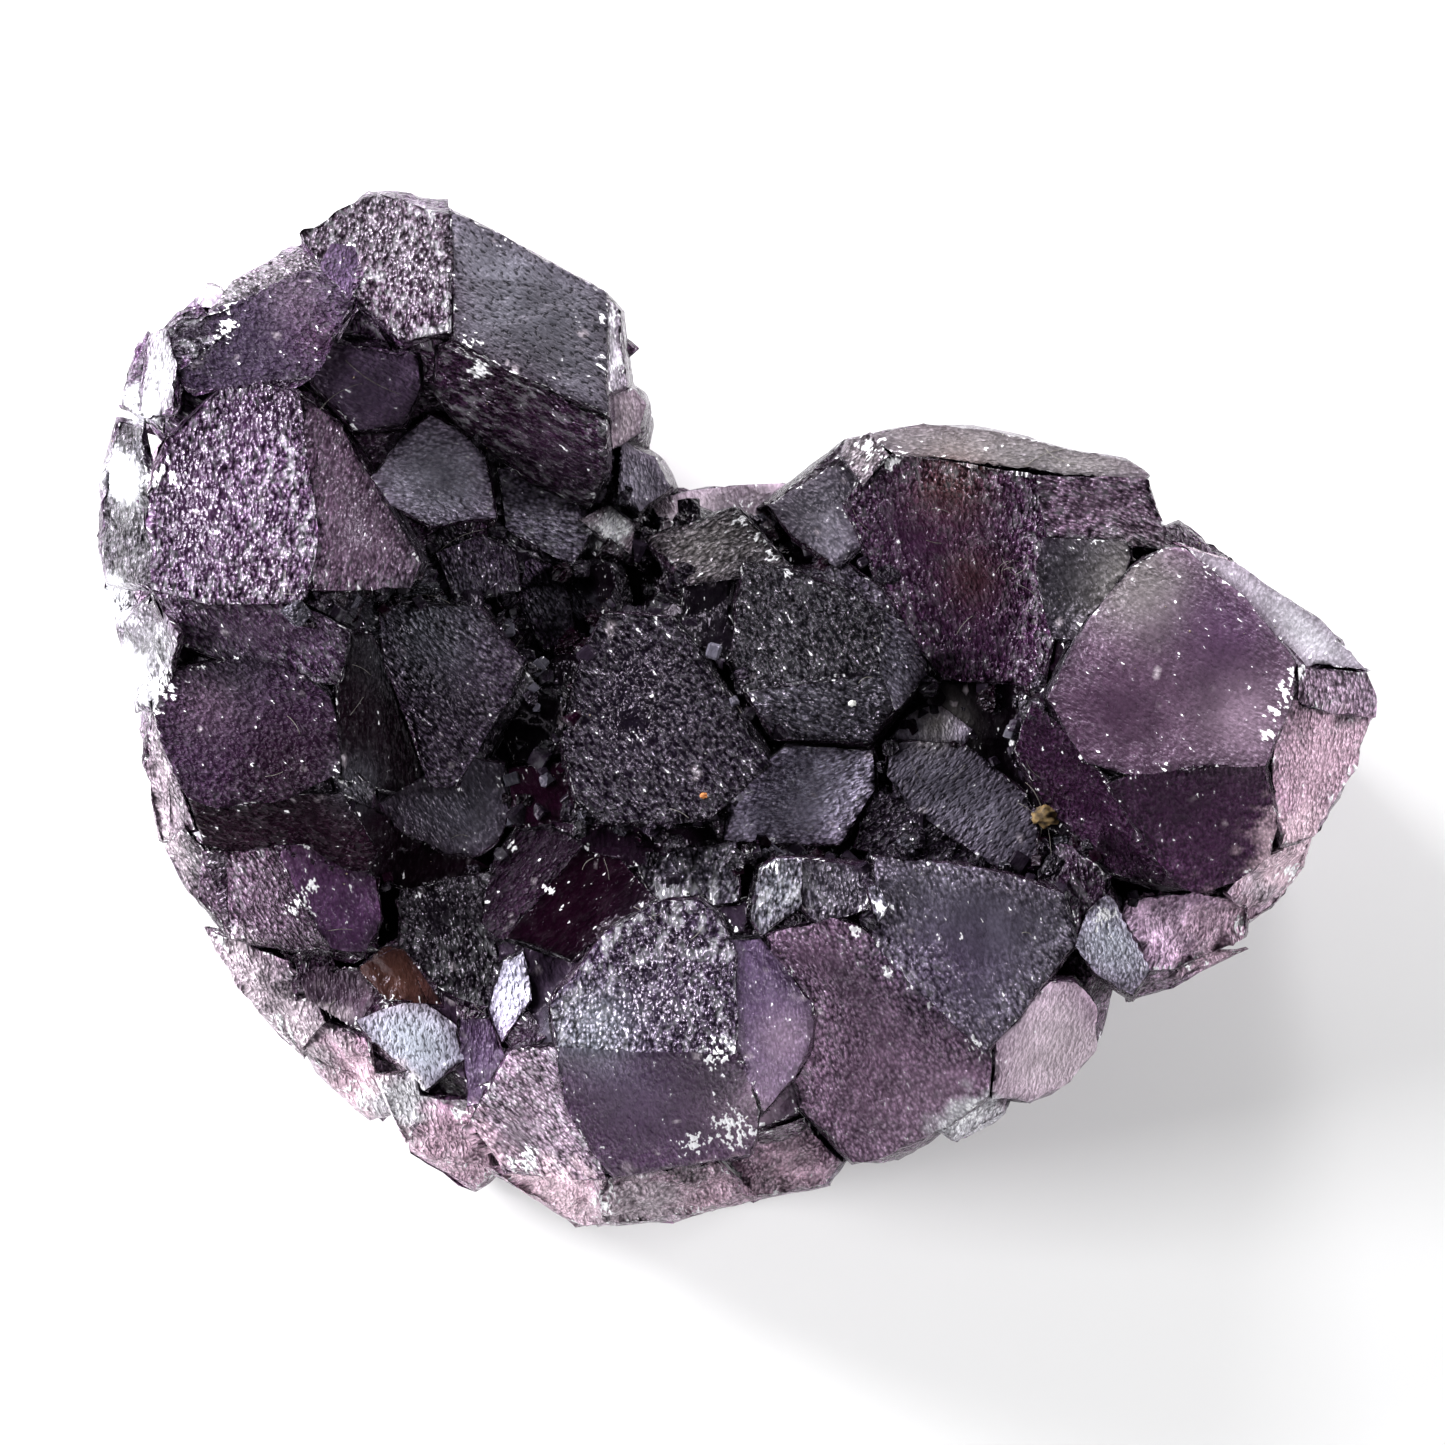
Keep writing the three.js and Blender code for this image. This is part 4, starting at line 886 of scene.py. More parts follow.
@dataclass
class CrystalSkin:
    """The whole surface of the cluster, worked finer than the solid it starts from.

    Args:
        top_edge: Longest edge of the mesh on the crystals, in millimetres.
        side_edge: The same on walls, on the sides and underneath.
        top_height: Height from which the crystals' finer mesh starts, in millimetres.
        rounds: Most rounds of splitting long edges.
        flat: Angle under which neighbouring triangles are one face, in degrees.
        crease: Angle from which an edge between faces is worn, in degrees.
        wear_reach: How far from an edge the wear goes, in millimetres.
        wear_depth: How deep it goes at most, in millimetres.
        groove_width: Widest cleft that small growth fills, in millimetres.
        groove_fill: Share of its depth that is filled.
        groove_grid: Spacing at which the clefts are measured, in millimetres.
        wall_reach: How near to the outer wall nothing is filled, in millimetres.
        darkest_groove: Filled depth from which a cleft's painted shade gets no darker, in millimetres.
        out_of_reach: Distance of a vertex that has no ridge or valley near, in millimetres.
        distance_rounds: Edges in a row over which distances are measured.
        full_relief: Width of face from which its relief has full height, in millimetres.
        stiffness: How much vertices where faces meet hold back.
        longest_move: How far a vertex moves at most, in millimetres.
        drift: How far the faces are out of true, in broad and in small waves, in millimetres.
        back_height: Height under which a vertex is part of the flat back, in millimetres.
        lowest: Least height of all other vertices, in millimetres; not used.
        blur_rounds: How far the faces' colours run into each other, in rounds of averaging.
        tone: How bright the colours of all the faces are.
        seed: Number that all chance follows from.
    """

    top_edge: float = 0.30
    side_edge: float = 1.10
    top_height: float = 9.0
    rounds: int = 7
    flat: float = 0.6
    crease: float = 18.0
    wear_reach: float = 0.30
    wear_depth: float = 0.13
    groove_width: float = 3.4
    groove_fill: float = 0.94
    groove_grid: float = 0.2
    wall_reach: float = 1.4
    darkest_groove: float = 3.2
    out_of_reach: float = 9.0
    distance_rounds: int = 12
    full_relief: float = 3.5
    stiffness: float = 0.12
    longest_move: float = 0.45
    drift: tuple[float, float] = (0.13, 0.03)
    back_height: float = 0.02
    lowest: float = 0.03
    blur_rounds: int = 50
    tone: float = 0.88
    seed: int = 5

    def build(self) -> bpy.types.Object:
        """Makes the piece.

        Returns:
            The finished piece.
        """
        piece = self.copied()
        self.mark_facets(piece)
        looks = self.looks_of_facets(piece)
        self.refine(piece)
        noise = SeededNoise(self.seed)
        surface = self.measure(piece.data)
        faces = self.face_table(surface, looks)
        moved = self.moved_points(surface, faces, noise)
        piece.data.vertices.foreach_set("co", (moved * MM).astype(np.float32).ravel())
        self.write_looks(piece.data, surface, faces, noise)
        piece.data.update()
        self.finish_shading(piece)
        return piece

    def copied(self) -> bpy.types.Object:
        """Copies the solid's mesh and merges its loose triangles.

        Returns:
            The copy.
        """
        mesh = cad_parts[CAD_NODE].data.copy()
        mesh.materials.clear()
        piece = bpy.data.objects.new("fluorite_crystals", mesh)
        bpy.context.scene.collection.objects.link(piece)
        make_active(piece)
        bpy.ops.object.mode_set(mode="EDIT")
        bpy.ops.mesh.select_all(action="SELECT")
        bpy.ops.mesh.remove_doubles(threshold=1e-7)
        bpy.ops.object.mode_set(mode="OBJECT")
        for layer in list(mesh.uv_layers):
            mesh.uv_layers.remove(layer)
        return piece

    def edge_faces(self, mesh: bpy.types.Mesh) -> np.ndarray:
        """Finds the two faces at each edge of a closed mesh.

        Args:
            mesh: The mesh.

        Returns:
            Two face numbers for each edge.
        """
        count = read_numbers(mesh.polygons, "loop_total", np.int32)
        face = np.repeat(np.arange(len(count)), count)
        edge = read_numbers(mesh.loops, "edge_index", np.int32)
        order = np.argsort(edge, kind="stable")
        return face[order].reshape(-1, 2)

    def mark_facets(self, piece: bpy.types.Object) -> None:
        """Numbers the flat faces on the mesh, each made of neighbouring triangles in one plane.

        Args:
            piece: The piece.
        """
        mesh = piece.data
        normals = read_numbers(mesh.polygons, "normal", np.float32, 3)
        pairs = self.edge_faces(mesh)
        same = dots(normals[pairs[:, 0]], normals[pairs[:, 1]]) > math.cos(math.radians(self.flat))
        label = np.arange(len(normals))
        pairs = pairs[same]
        while True:
            low = np.minimum(label[pairs[:, 0]], label[pairs[:, 1]])
            before = label.copy()
            np.minimum.at(label, pairs[:, 0], low)
            np.minimum.at(label, pairs[:, 1], low)
            label = label[label]
            if (label == before).all():
                break
        _, label = np.unique(label, return_inverse=True)
        layer = mesh.attributes.new("facet", "INT", "FACE")
        layer.data.foreach_set("value", label.astype(np.int32))
        log.info("%d flat faces", label.max() + 1)

    def looks_of_facets(self, piece: bpy.types.Object) -> dict[int, FaceLook]:
        """Finds which flat face each named look belongs to.

        Args:
            piece: The piece, with its faces numbered.

        Returns:
            The look for each face number that has one.
        """
        mesh = piece.data
        label = read_numbers(mesh.attributes["facet"].data, "value", np.int32)
        normals = read_numbers(mesh.polygons, "normal", np.float32, 3).astype(float)
        centres = read_numbers(mesh.polygons, "center", np.float32, 3).astype(float)
        tree = surface_tree(mesh)
        looks: dict[int, FaceLook] = {}
        for name, look in FACES.items():
            place = Vector((look.spot[0] * MM, look.spot[1] * MM, 0.1))
            _, _, hit, _ = tree.ray_cast(place, Vector((0, 0, -1)))
            if hit is None:
                log.warning("no face at %s", name)
                continue
            aligned = normals @ normals[hit] > 0.99999
            near = np.abs((centres - centres[hit]) @ normals[hit]) < 0.01 * MM
            for facet in np.unique(label[aligned & near]):
                looks.setdefault(int(facet), look)
        return looks

    def refine(self, piece: bpy.types.Object) -> None:
        """Splits long edges until the mesh is fine enough.

        Args:
            piece: The piece.
        """
        mesh = piece.data
        bpy.ops.object.mode_set(mode="EDIT")
        bpy.ops.mesh.select_all(action="SELECT")
        bpy.ops.mesh.dissolve_limited(angle_limit=math.radians(self.flat * 0.5))
        bpy.ops.mesh.quads_convert_to_tris(ngon_method="BEAUTY")
        bpy.ops.mesh.beautify_fill(angle_limit=math.radians(self.flat))
        bpy.ops.object.mode_set(mode="OBJECT")
        for _ in range(self.rounds):
            points = read_numbers(mesh.vertices, "co", np.float32, 3)
            ends = read_numbers(mesh.edges, "vertices", np.int32, 2)
            length = np.linalg.norm(points[ends[:, 0]] - points[ends[:, 1]], axis=1)
            high = points[ends].mean(axis=1)[:, 2] > self.top_height * MM
            normals = read_numbers(mesh.polygons, "normal", np.float32, 3)
            upward = normals[self.edge_faces(mesh)].max(axis=1)[:, 2] > 0.15
            limit = np.where(high & upward, self.top_edge, self.side_edge) * MM
            long = length > limit
            log.info("%d faces, %d long edges", len(mesh.polygons), long.sum())
            if not long.any():
                break
            for items in (mesh.vertices, mesh.polygons):
                items.foreach_set("select", np.zeros(len(items), bool))
            mesh.edges.foreach_set("select", long)
            bpy.ops.object.mode_set(mode="EDIT")
            bpy.ops.mesh.select_mode(type="EDGE")
            bpy.ops.mesh.subdivide(number_cuts=1, quadcorner="INNERVERT")
            bpy.ops.mesh.select_all(action="SELECT")
            bpy.ops.mesh.quads_convert_to_tris(quad_method="SHORTEST_DIAGONAL", ngon_method="BEAUTY")
            bpy.ops.mesh.beautify_fill(angle_limit=math.radians(self.flat))
            bpy.ops.object.mode_set(mode="OBJECT")
            while self.drop_flaps(mesh):
                log.info("flat flaps deleted")

    def drop_flaps(self, mesh: bpy.types.Mesh) -> bool:
        """Deletes the flat flaps that splitting sliver triangles can leave, so that the mesh stays closed.

        Args:
            mesh: The mesh, in object mode.

        Returns:
            Whether there were any.
        """
        edge = read_numbers(mesh.loops, "edge_index", np.int32)
        count = read_numbers(mesh.polygons, "loop_total", np.int32)
        face = np.repeat(np.arange(len(count)), count)
        lone = np.bincount(edge, minlength=len(mesh.edges)) == 1
        flap = np.bincount(face, lone[edge], len(count)) > 0
        if flap.any():
            for items in (mesh.vertices, mesh.edges):
                items.foreach_set("select", np.zeros(len(items), bool))
            mesh.polygons.foreach_set("select", flap)
            bpy.ops.object.mode_set(mode="EDIT")
            bpy.ops.mesh.select_mode(type="FACE")
            bpy.ops.mesh.delete(type="FACE")
            bpy.ops.object.mode_set(mode="OBJECT")
        return bool(flap.any())

    def fill_grooves(self, points: np.ndarray, mesh: bpy.types.Mesh) -> np.ndarray:
        """Raises the floor of the narrow clefts between crystals, where small growth fills them.

        Args:
            points: The vertices, in millimetres.
            mesh: The mesh, with those vertices.

        Returns:
            The new height of each vertex.
        """
        tree = surface_tree(mesh)
        low = points[:, :2].min(axis=0) - 2.0
        cells = np.ceil((points[:, :2].max(axis=0) + 2.0 - low) / self.groove_grid).astype(int)
        height = np.full(cells, -9.0)
        down = Vector((0, 0, -1))
        for i, j in np.ndindex(*cells):
            place = (low + (np.array([i, j]) + 0.5) * self.groove_grid) * MM
            hit = tree.ray_cast(Vector((place[0], place[1], 0.1)), down)[0]
            if hit is not None:
                height[i, j] = hit.z / MM
        reach = int(round(self.groove_width / 2 / self.groove_grid))
        disc = [(i, j) for i in range(-reach, reach + 1) for j in range(-reach, reach + 1)
                if i * i + j * j <= reach * reach + 1]
        wide = np.max([np.roll(height, step, (0, 1)) for step in disc], axis=0)
        closed = np.min([np.roll(wide, step, (0, 1)) for step in disc], axis=0)
        near = int(round(self.wall_reach / self.groove_grid))
        around = np.ndindex(2 * near + 1, 2 * near + 1)
        wall = np.max([np.roll(height < 0.0, (i - near, j - near), (0, 1)) for i, j in around], axis=0)
        place = (points[:, :2] - low) / self.groove_grid - 0.5
        cell = np.floor(place).astype(int)
        part = place - cell
        level = np.zeros(len(points))
        for i, j in np.ndindex(2, 2):
            share = np.abs(1 - i - part[:, 0]) * np.abs(1 - j - part[:, 1])
            level += share * closed[cell[:, 0] + i, cell[:, 1] + j]
        noise = SeededNoise(self.seed + 1)
        filled = self.groove_fill + 0.14 * Cloud.FILL.over(noise, points)
        lift = np.maximum(level - points[:, 2], 0.0) * filled * smooth_step(7.0, 11.0, points[:, 2])
        return points[:, 2] + lift * ~wall[cell[:, 0], cell[:, 1]]

    def measure(self, mesh: bpy.types.Mesh) -> Surface:
        """Reads the mesh, and finds how far each vertex is from the ridges and valleys between faces.

        Args:
            mesh: The finely split mesh, in object mode.

        Returns:
            The numbers.
        """
        points = read_numbers(mesh.vertices, "co", np.float32, 3).astype(float) / MM
        corners = read_numbers(mesh.polygons, "vertices", np.int32, 3)
        normals = read_numbers(mesh.polygons, "normal", np.float32, 3).astype(float)
        ends = read_numbers(mesh.edges, "vertices", np.int32, 2)
        one, other = self.edge_faces(mesh).T
        centres = points[corners].mean(axis=1)
        creased = dots(normals[one], normals[other]) < math.cos(math.radians(self.crease))
        outward = dots(normals[one], centres[other] - centres[one]) < 0
        length = np.linalg.norm(points[ends[:, 0]] - points[ends[:, 1]], axis=1)
        far, deep = (np.full(len(points), self.out_of_reach) for _ in range(2))
        for distance, start in ((far, creased & outward), (deep, creased & ~outward)):
            distance[ends[start].ravel()] = 0.0
            for _ in range(self.distance_rounds):
                np.minimum.at(distance, ends[:, 0], distance[ends[:, 1]] + length)
                np.minimum.at(distance, ends[:, 1], distance[ends[:, 0]] + length)
        level = self.fill_grooves(points, mesh)
        log.info("grooves filled")
        label = read_numbers(mesh.attributes["facet"].data, "value", np.int32)
        area = read_numbers(mesh.polygons, "area", np.float32).astype(float)
        return Surface(points, corners, label, normals, area, ends, far, deep, level)

    def face_table(self, surface: Surface, looks: dict[int, FaceLook]) -> FaceTable:
        """Lists each flat face with its place, its look and the directions of its grain.

        Args:
            surface: The mesh.
            looks: The look of each named face.

        Returns:
            The list.
        """
        count = surface.label.max() + 1
        weight = surface.area[:, None]
        facing = np.zeros((count, 3))
        middle = np.zeros((count, 3))
        size = np.zeros(count)
        np.add.at(facing, surface.label, surface.normals * weight)
        np.add.at(middle, surface.label, surface.points[surface.corners].mean(axis=1) * weight)
        np.add.at(size, surface.label, surface.area)
        facing /= np.linalg.norm(facing, axis=1, keepdims=True) + TINY
        middle /= size[:, None] + TINY_AREA

        given = [looks.get(i) or self.unseen_look(middle[i], facing[i]) for i in range(count)]
        shade = np.array([[look.shade] for look in given])
        tint = np.array([look.tint.value for look in given]) * shade * self.tone
        names = [field.name for field in fields(Grain)]
        grain = {name: np.array([getattr(look.relief.value, name) for look in given]) for name in names}

        turn = np.radians([look.turn for look in given])
        cosine, sine = np.cos(turn)[:, None], np.sin(turn)[:, None]
        upright = np.tile([0.0, 1.0, 0.0], (count, 1))
        upright[np.abs(facing[:, 1]) > 0.8] = (0.0, 0.0, 1.0)
        across = np.cross(upright, facing)
        across /= np.linalg.norm(across, axis=1, keepdims=True) + TINY
        upright = np.cross(facing, across)
        return FaceTable(facing, middle, size / MM**2, across * cosine + upright * sine,
                         upright * cosine - across * sine, tint, grain)

    def relief_height(self, faces: FaceTable, facet: np.ndarray, offset: np.ndarray, noise: SeededNoise
                      ) -> np.ndarray:
        """Gives how far places on the faces stand out of them, by swells, growth steps and hillocks.

        Args:
            faces: The flat faces.
            facet: The face that each place is on.
            offset: Each place, from the middle of its face, in millimetres.
            noise: The noise to use.

        Returns:
            The heights, in millimetres.
        """
        u = dots(offset, faces.u_axis[facet])
        v = dots(offset, faces.v_axis[facet])
        grain = {name: numbers[facet] for name, numbers in faces.grain.items()}
        # each face reads the noise at its own depth, so that no two are alike
        depth = facet * 7.31

        def plane(u_scale: float, v_scale: float, third: np.ndarray) -> np.ndarray:
            """Gives where in the noise each place is read."""
            return np.stack([u * u_scale, v * v_scale, third], axis=1)

        swell = noise.layered(plane(0.7, 0.45, depth), 3)
        slope = noise.at(plane(0.28, 0.28, depth + 50)) * 2.6
        slope += noise.at(plane(1.3, 0.5, depth + 90)) * 0.45
        steps = np.floor(slope) + smooth_step(0.80, 1.0, slope - np.floor(slope))
        warp = noise.at(plane(0.9, 0.9, facet * 3.1 + 7)) * 0.35
        cell = grain["cell"]
        away, chance = noise.hillocks(
            np.stack([u / cell + warp, v * 0.8 / cell - warp, facet.astype(float)], axis=1))
        hills = (0.5 - away) * grain["hill"] * cell * (0.75 + 0.5 * chance)
        height = swell * grain["swell"] + steps * grain["steps"] * 0.8 + hills
        return height * np.clip(np.sqrt(faces.size[facet]) / self.full_relief, 0.25, 1.0)

    def moved_points(self, surface: Surface, faces: FaceTable, noise: SeededNoise) -> np.ndarray:
        """Moves each vertex so that it lies on all of its faces, each of them raised, sunk or worn.

        Args:
            surface: The mesh.
            faces: The flat faces.
            noise: The noise to use.

        Returns:
            The new vertices, in millimetres.
        """
        points = surface.points
        count = len(faces.size)
        key = np.unique(surface.corners.ravel().astype(np.int64) * count + np.repeat(surface.label, 3))
        vertex, facet = key // count, key % count
        wear = 1.0 - smooth_step(0.0, self.wear_reach, surface.far)
        nibble = smooth_step(-0.30, 0.55, Cloud.NIBBLE.over(noise, points))
        wear_down = wear * (0.15 + 0.85 * nibble) * self.wear_depth
        height = self.relief_height(faces, facet, points[vertex] - faces.middle[facet], noise) - wear_down[vertex]

        direction = faces.facing[facet]
        total = np.zeros((len(points), 3, 3))
        aim = np.zeros((len(points), 3))
        np.add.at(total, vertex, direction[:, :, None] * direction[:, None, :])
        np.add.at(aim, vertex, direction * height[:, None])
        move = np.linalg.solve(total + np.eye(3) * self.stiffness, aim[:, :, None])[:, :, 0]
        reach = np.linalg.norm(move, axis=1, keepdims=True)
        move *= np.minimum(1.0, self.longest_move / (reach + 1e-9))

        broad, small = self.drift
        drift = np.stack([broad * noise.layered(points * 0.30 + shift, 2) + small * noise.at(points * 1.1 + shift)
                          for shift in (5.0, 205.0, 405.0)], axis=1)
        lifted = np.c_[points[:, :2], surface.level]
        moved = lifted + move + drift * smooth_step(0.0, 2.0, points[:, 2])[:, None]
        on_back = points[:, 2] < self.back_height
        moved[:, 2] = np.where(on_back, points[:, 2], np.maximum(moved[:, 2], 1.5 * self.back_height))
        return moved

    def painted_shade(self, surface: Surface) -> np.ndarray:
        """Gives the painted shade of each vertex, deep in the clefts and along the valleys between faces.

        Args:
            surface: The mesh.

        Returns:
            Numbers from near 0 in the dark to 1 in the open.
        """
        x, y = surface.points[:, 0], surface.points[:, 1]
        hollow = np.max([np.exp(-(((x - middle_x) / reach_x) ** 2) - ((y - middle_y) / reach_y) ** 2)
                         for middle_x, middle_y, reach_x, reach_y in DARK_HOLLOWS], axis=0)
        groove = np.minimum(surface.level - surface.points[:, 2], self.darkest_groove)
        # painted shade along the valleys where faces meet
        valley_shade = 1.0 - 0.55 * np.exp(-((surface.deep / 0.3) ** 2))
        return np.exp(-(0.08 + 0.26 * hollow) * groove) * valley_shade

    def write_looks(self, mesh: bpy.types.Mesh, surface: Surface, faces: FaceTable, noise: SeededNoise) -> None:
        """Stores all that the material reads.

        Args:
            mesh: The mesh.
            surface: The same as numbers, before it was worked.
            faces: The flat faces.
            noise: The noise to use.
        """
        points, far, ends = surface.points, surface.far, surface.ends
        where = surface.corners.ravel()
        face = np.repeat(surface.label, 3)
        grain = {name: numbers[face] for name, numbers in faces.grain.items()}
        patch = Cloud.PATCH.over(noise, points)
        near_ridge = np.exp(-((far / 1.3) ** 2))
        dark = self.painted_shade(surface)

        # where on its face each corner is, with every face in another part of the pattern
        offset = points[where] - faces.middle[face]
        write_attribute(mesh, "pattern", "FLOAT_VECTOR", "CORNER", np.stack([
            dots(offset, faces.u_axis[face]) + 31.0 * np.sin(face * 1.7),
            dots(offset, faces.v_axis[face]) + 29.0 * np.cos(face * 2.3),
            np.zeros(len(face)),
        ], axis=1))
        worked = np.clip(0.55 + 0.8 * near_ridge + 0.7 * patch, 0.15, 1.4)[where]
        write_attribute(mesh, "relief", "FLOAT_COLOR", "CORNER", np.stack(
            [grain["sparkle"] * worked, grain["ripple"] * worked, grain["pits"], grain["roughness"]], axis=1))
        # reflections are weaker where shade is painted, in the clefts and along the valleys
        write_attribute(mesh, "shine", "FLOAT", "CORNER", grain["shine"] * (0.25 + 0.75 * dark[where]))
        write_attribute(mesh, "cleft", "FLOAT", "POINT", surface.level - points[:, 2])

        # the colour of each face, which runs a little into its neighbours'
        own = np.log(faces.tint + 1e-4)
        counts = np.bincount(where, minlength=len(points))[:, None] + 1e-9
        mixed = np.stack([np.bincount(where, own[face, i], len(points)) for i in range(3)], axis=1) / counts
        for _ in range(self.blur_rounds):
            mixed = self.spread(mixed, ends)
        share = (0.22 + 0.18 * np.exp(-np.minimum(far, surface.deep) / 0.6))[where][:, None]
        # painted light: faces are lighter near their ridges, as if light came through the thin edges, with painted
        # highlight lines along the ridges; the painted shade of clefts and valleys darkens them, and the patch noise is
        # random tone
        lit_edge = np.exp(-((far / 0.13) ** 2)) * smooth_step(-0.5, 0.3, Cloud.EDGE_LIGHT.over(noise, points))
        shade = np.exp(0.75 * patch + 0.22 * near_ridge + 0.70 * lit_edge) * dark
        mottle = np.exp((0.36 + 1.5 * grain["hill"]) * Cloud.FLECK.over(noise, points)[where])
        colour = np.exp(own[face] * (1.0 - share) + mixed[where] * share) * (shade[where] * mottle)[:, None]

        # patches and chips lie on what is seen from above
        seen = smooth_step(5.0, 9.0, points[:, 2])
        upward = np.clip(0.2 + 2.5 * faces.facing[face, 2], 0.0, 1.0)
        tatter = Cloud.TATTER.over(noise, points)
        for spot in PATCHES.values():
            mask = ((spot.mask(points, tatter if spot.ragged else patch) * seen)[where] * upward)[:, None]
            colour += (np.array(spot.tint.value) - colour) * mask
        # share of painted glints: white flecks that stand for sparkle, most near the ridges
        painted_glint_share = np.clip(grain["sparkle"] * (near_ridge[where] * 0.8 + 0.3) * (0.7 + 1.2 * patch[where]), 0.0, 1.0)
        write_attribute(mesh, "tint", "FLOAT_COLOR", "CORNER", np.c_[colour, painted_glint_share])
        # thin pale lines along the ridges and white chips: chipped edges, with painted highlight and glints
        gate = smooth_step(-0.25, 0.30, Cloud.EDGE_WEAR_AND_GLINT.over(noise, points))
        worn = 0.36 * gate * (1.0 - smooth_step(0.0, 0.3, far))
        topmost = np.bincount(where, upward, len(points)) / counts[:, 0]
        for x, y, reach in CHIPS.values():
            away = np.linalg.norm(points[:, :2] - (x, y), axis=1) / reach
            worn = np.maximum(worn, 0.62 * np.exp(-away * away) * seen * topmost)
        write_attribute(mesh, "edge", "FLOAT", "POINT", worn)

    def spread(self, values: np.ndarray, ends: np.ndarray) -> np.ndarray:
        """Averages each vertex's values with its neighbours'.

        Args:
            values: One row for each vertex.
            ends: The two vertices of each edge.

        Returns:
            The averaged values.
        """
        count = len(values)
        near = np.bincount(ends.ravel(), minlength=count) + 1.0
        total = values.copy()
        for i in range(values.shape[1]):
            total[:, i] += np.bincount(ends[:, 0], values[ends[:, 1], i], count)
            total[:, i] += np.bincount(ends[:, 1], values[ends[:, 0], i], count)
        return total / near[:, None]

    def unseen_look(self, middle: np.ndarray, facing: np.ndarray) -> FaceLook:
        """Chooses the look of a face that has no name.

        Args:
            middle: Middle of the face, in millimetres.
            facing: Its normal.

        Returns:
            The look, paler towards the foot and the front.
        """
        x, y, z = middle
        outer = math.hypot(x / 24.0, y / 18.0)
        chance = math.sin(x * 12.9 + y * 78.2 + z * 37.7) * 43758.5
        chance -= math.floor(chance)
        turn = 180.0 * chance
        if facing[2] < -0.7 and z < 6.0:
            return FaceLook((x, y), Tint.LILAC, Relief.FLAKED, 1.0, turn)
        if z < 9.0 or outer > 0.97:
            pale = chance + (9.0 - z) / 12.0 + (0.25 if y < 0 else -0.25)
            tint = Tint.LILAC if pale > 0.9 else Tint.MAUVE if pale > 0.35 else Tint.PURPLE
            return FaceLook((x, y), tint, Relief.FLAKED if chance > 0.3 else Relief.FROSTED, 1.0, turn)
        tint = Tint.PLUM if chance > 0.5 or outer > 0.7 else Tint.INK
        return FaceLook((x, y), tint, Relief.RIPPLED if chance > 0.3 else Relief.FROSTED, 0.8, turn)

    def finish_shading(self, piece: bpy.types.Object) -> None:
        """Shades the mesh smooth, with sharp edges where it bends, and gives it its material.

        Args:
            piece: The piece.
        """
        make_active(piece)
        bpy.ops.object.shade_smooth_by_angle(angle=math.radians(24.0))
        piece.data.materials.append(FluoriteFinish().material())


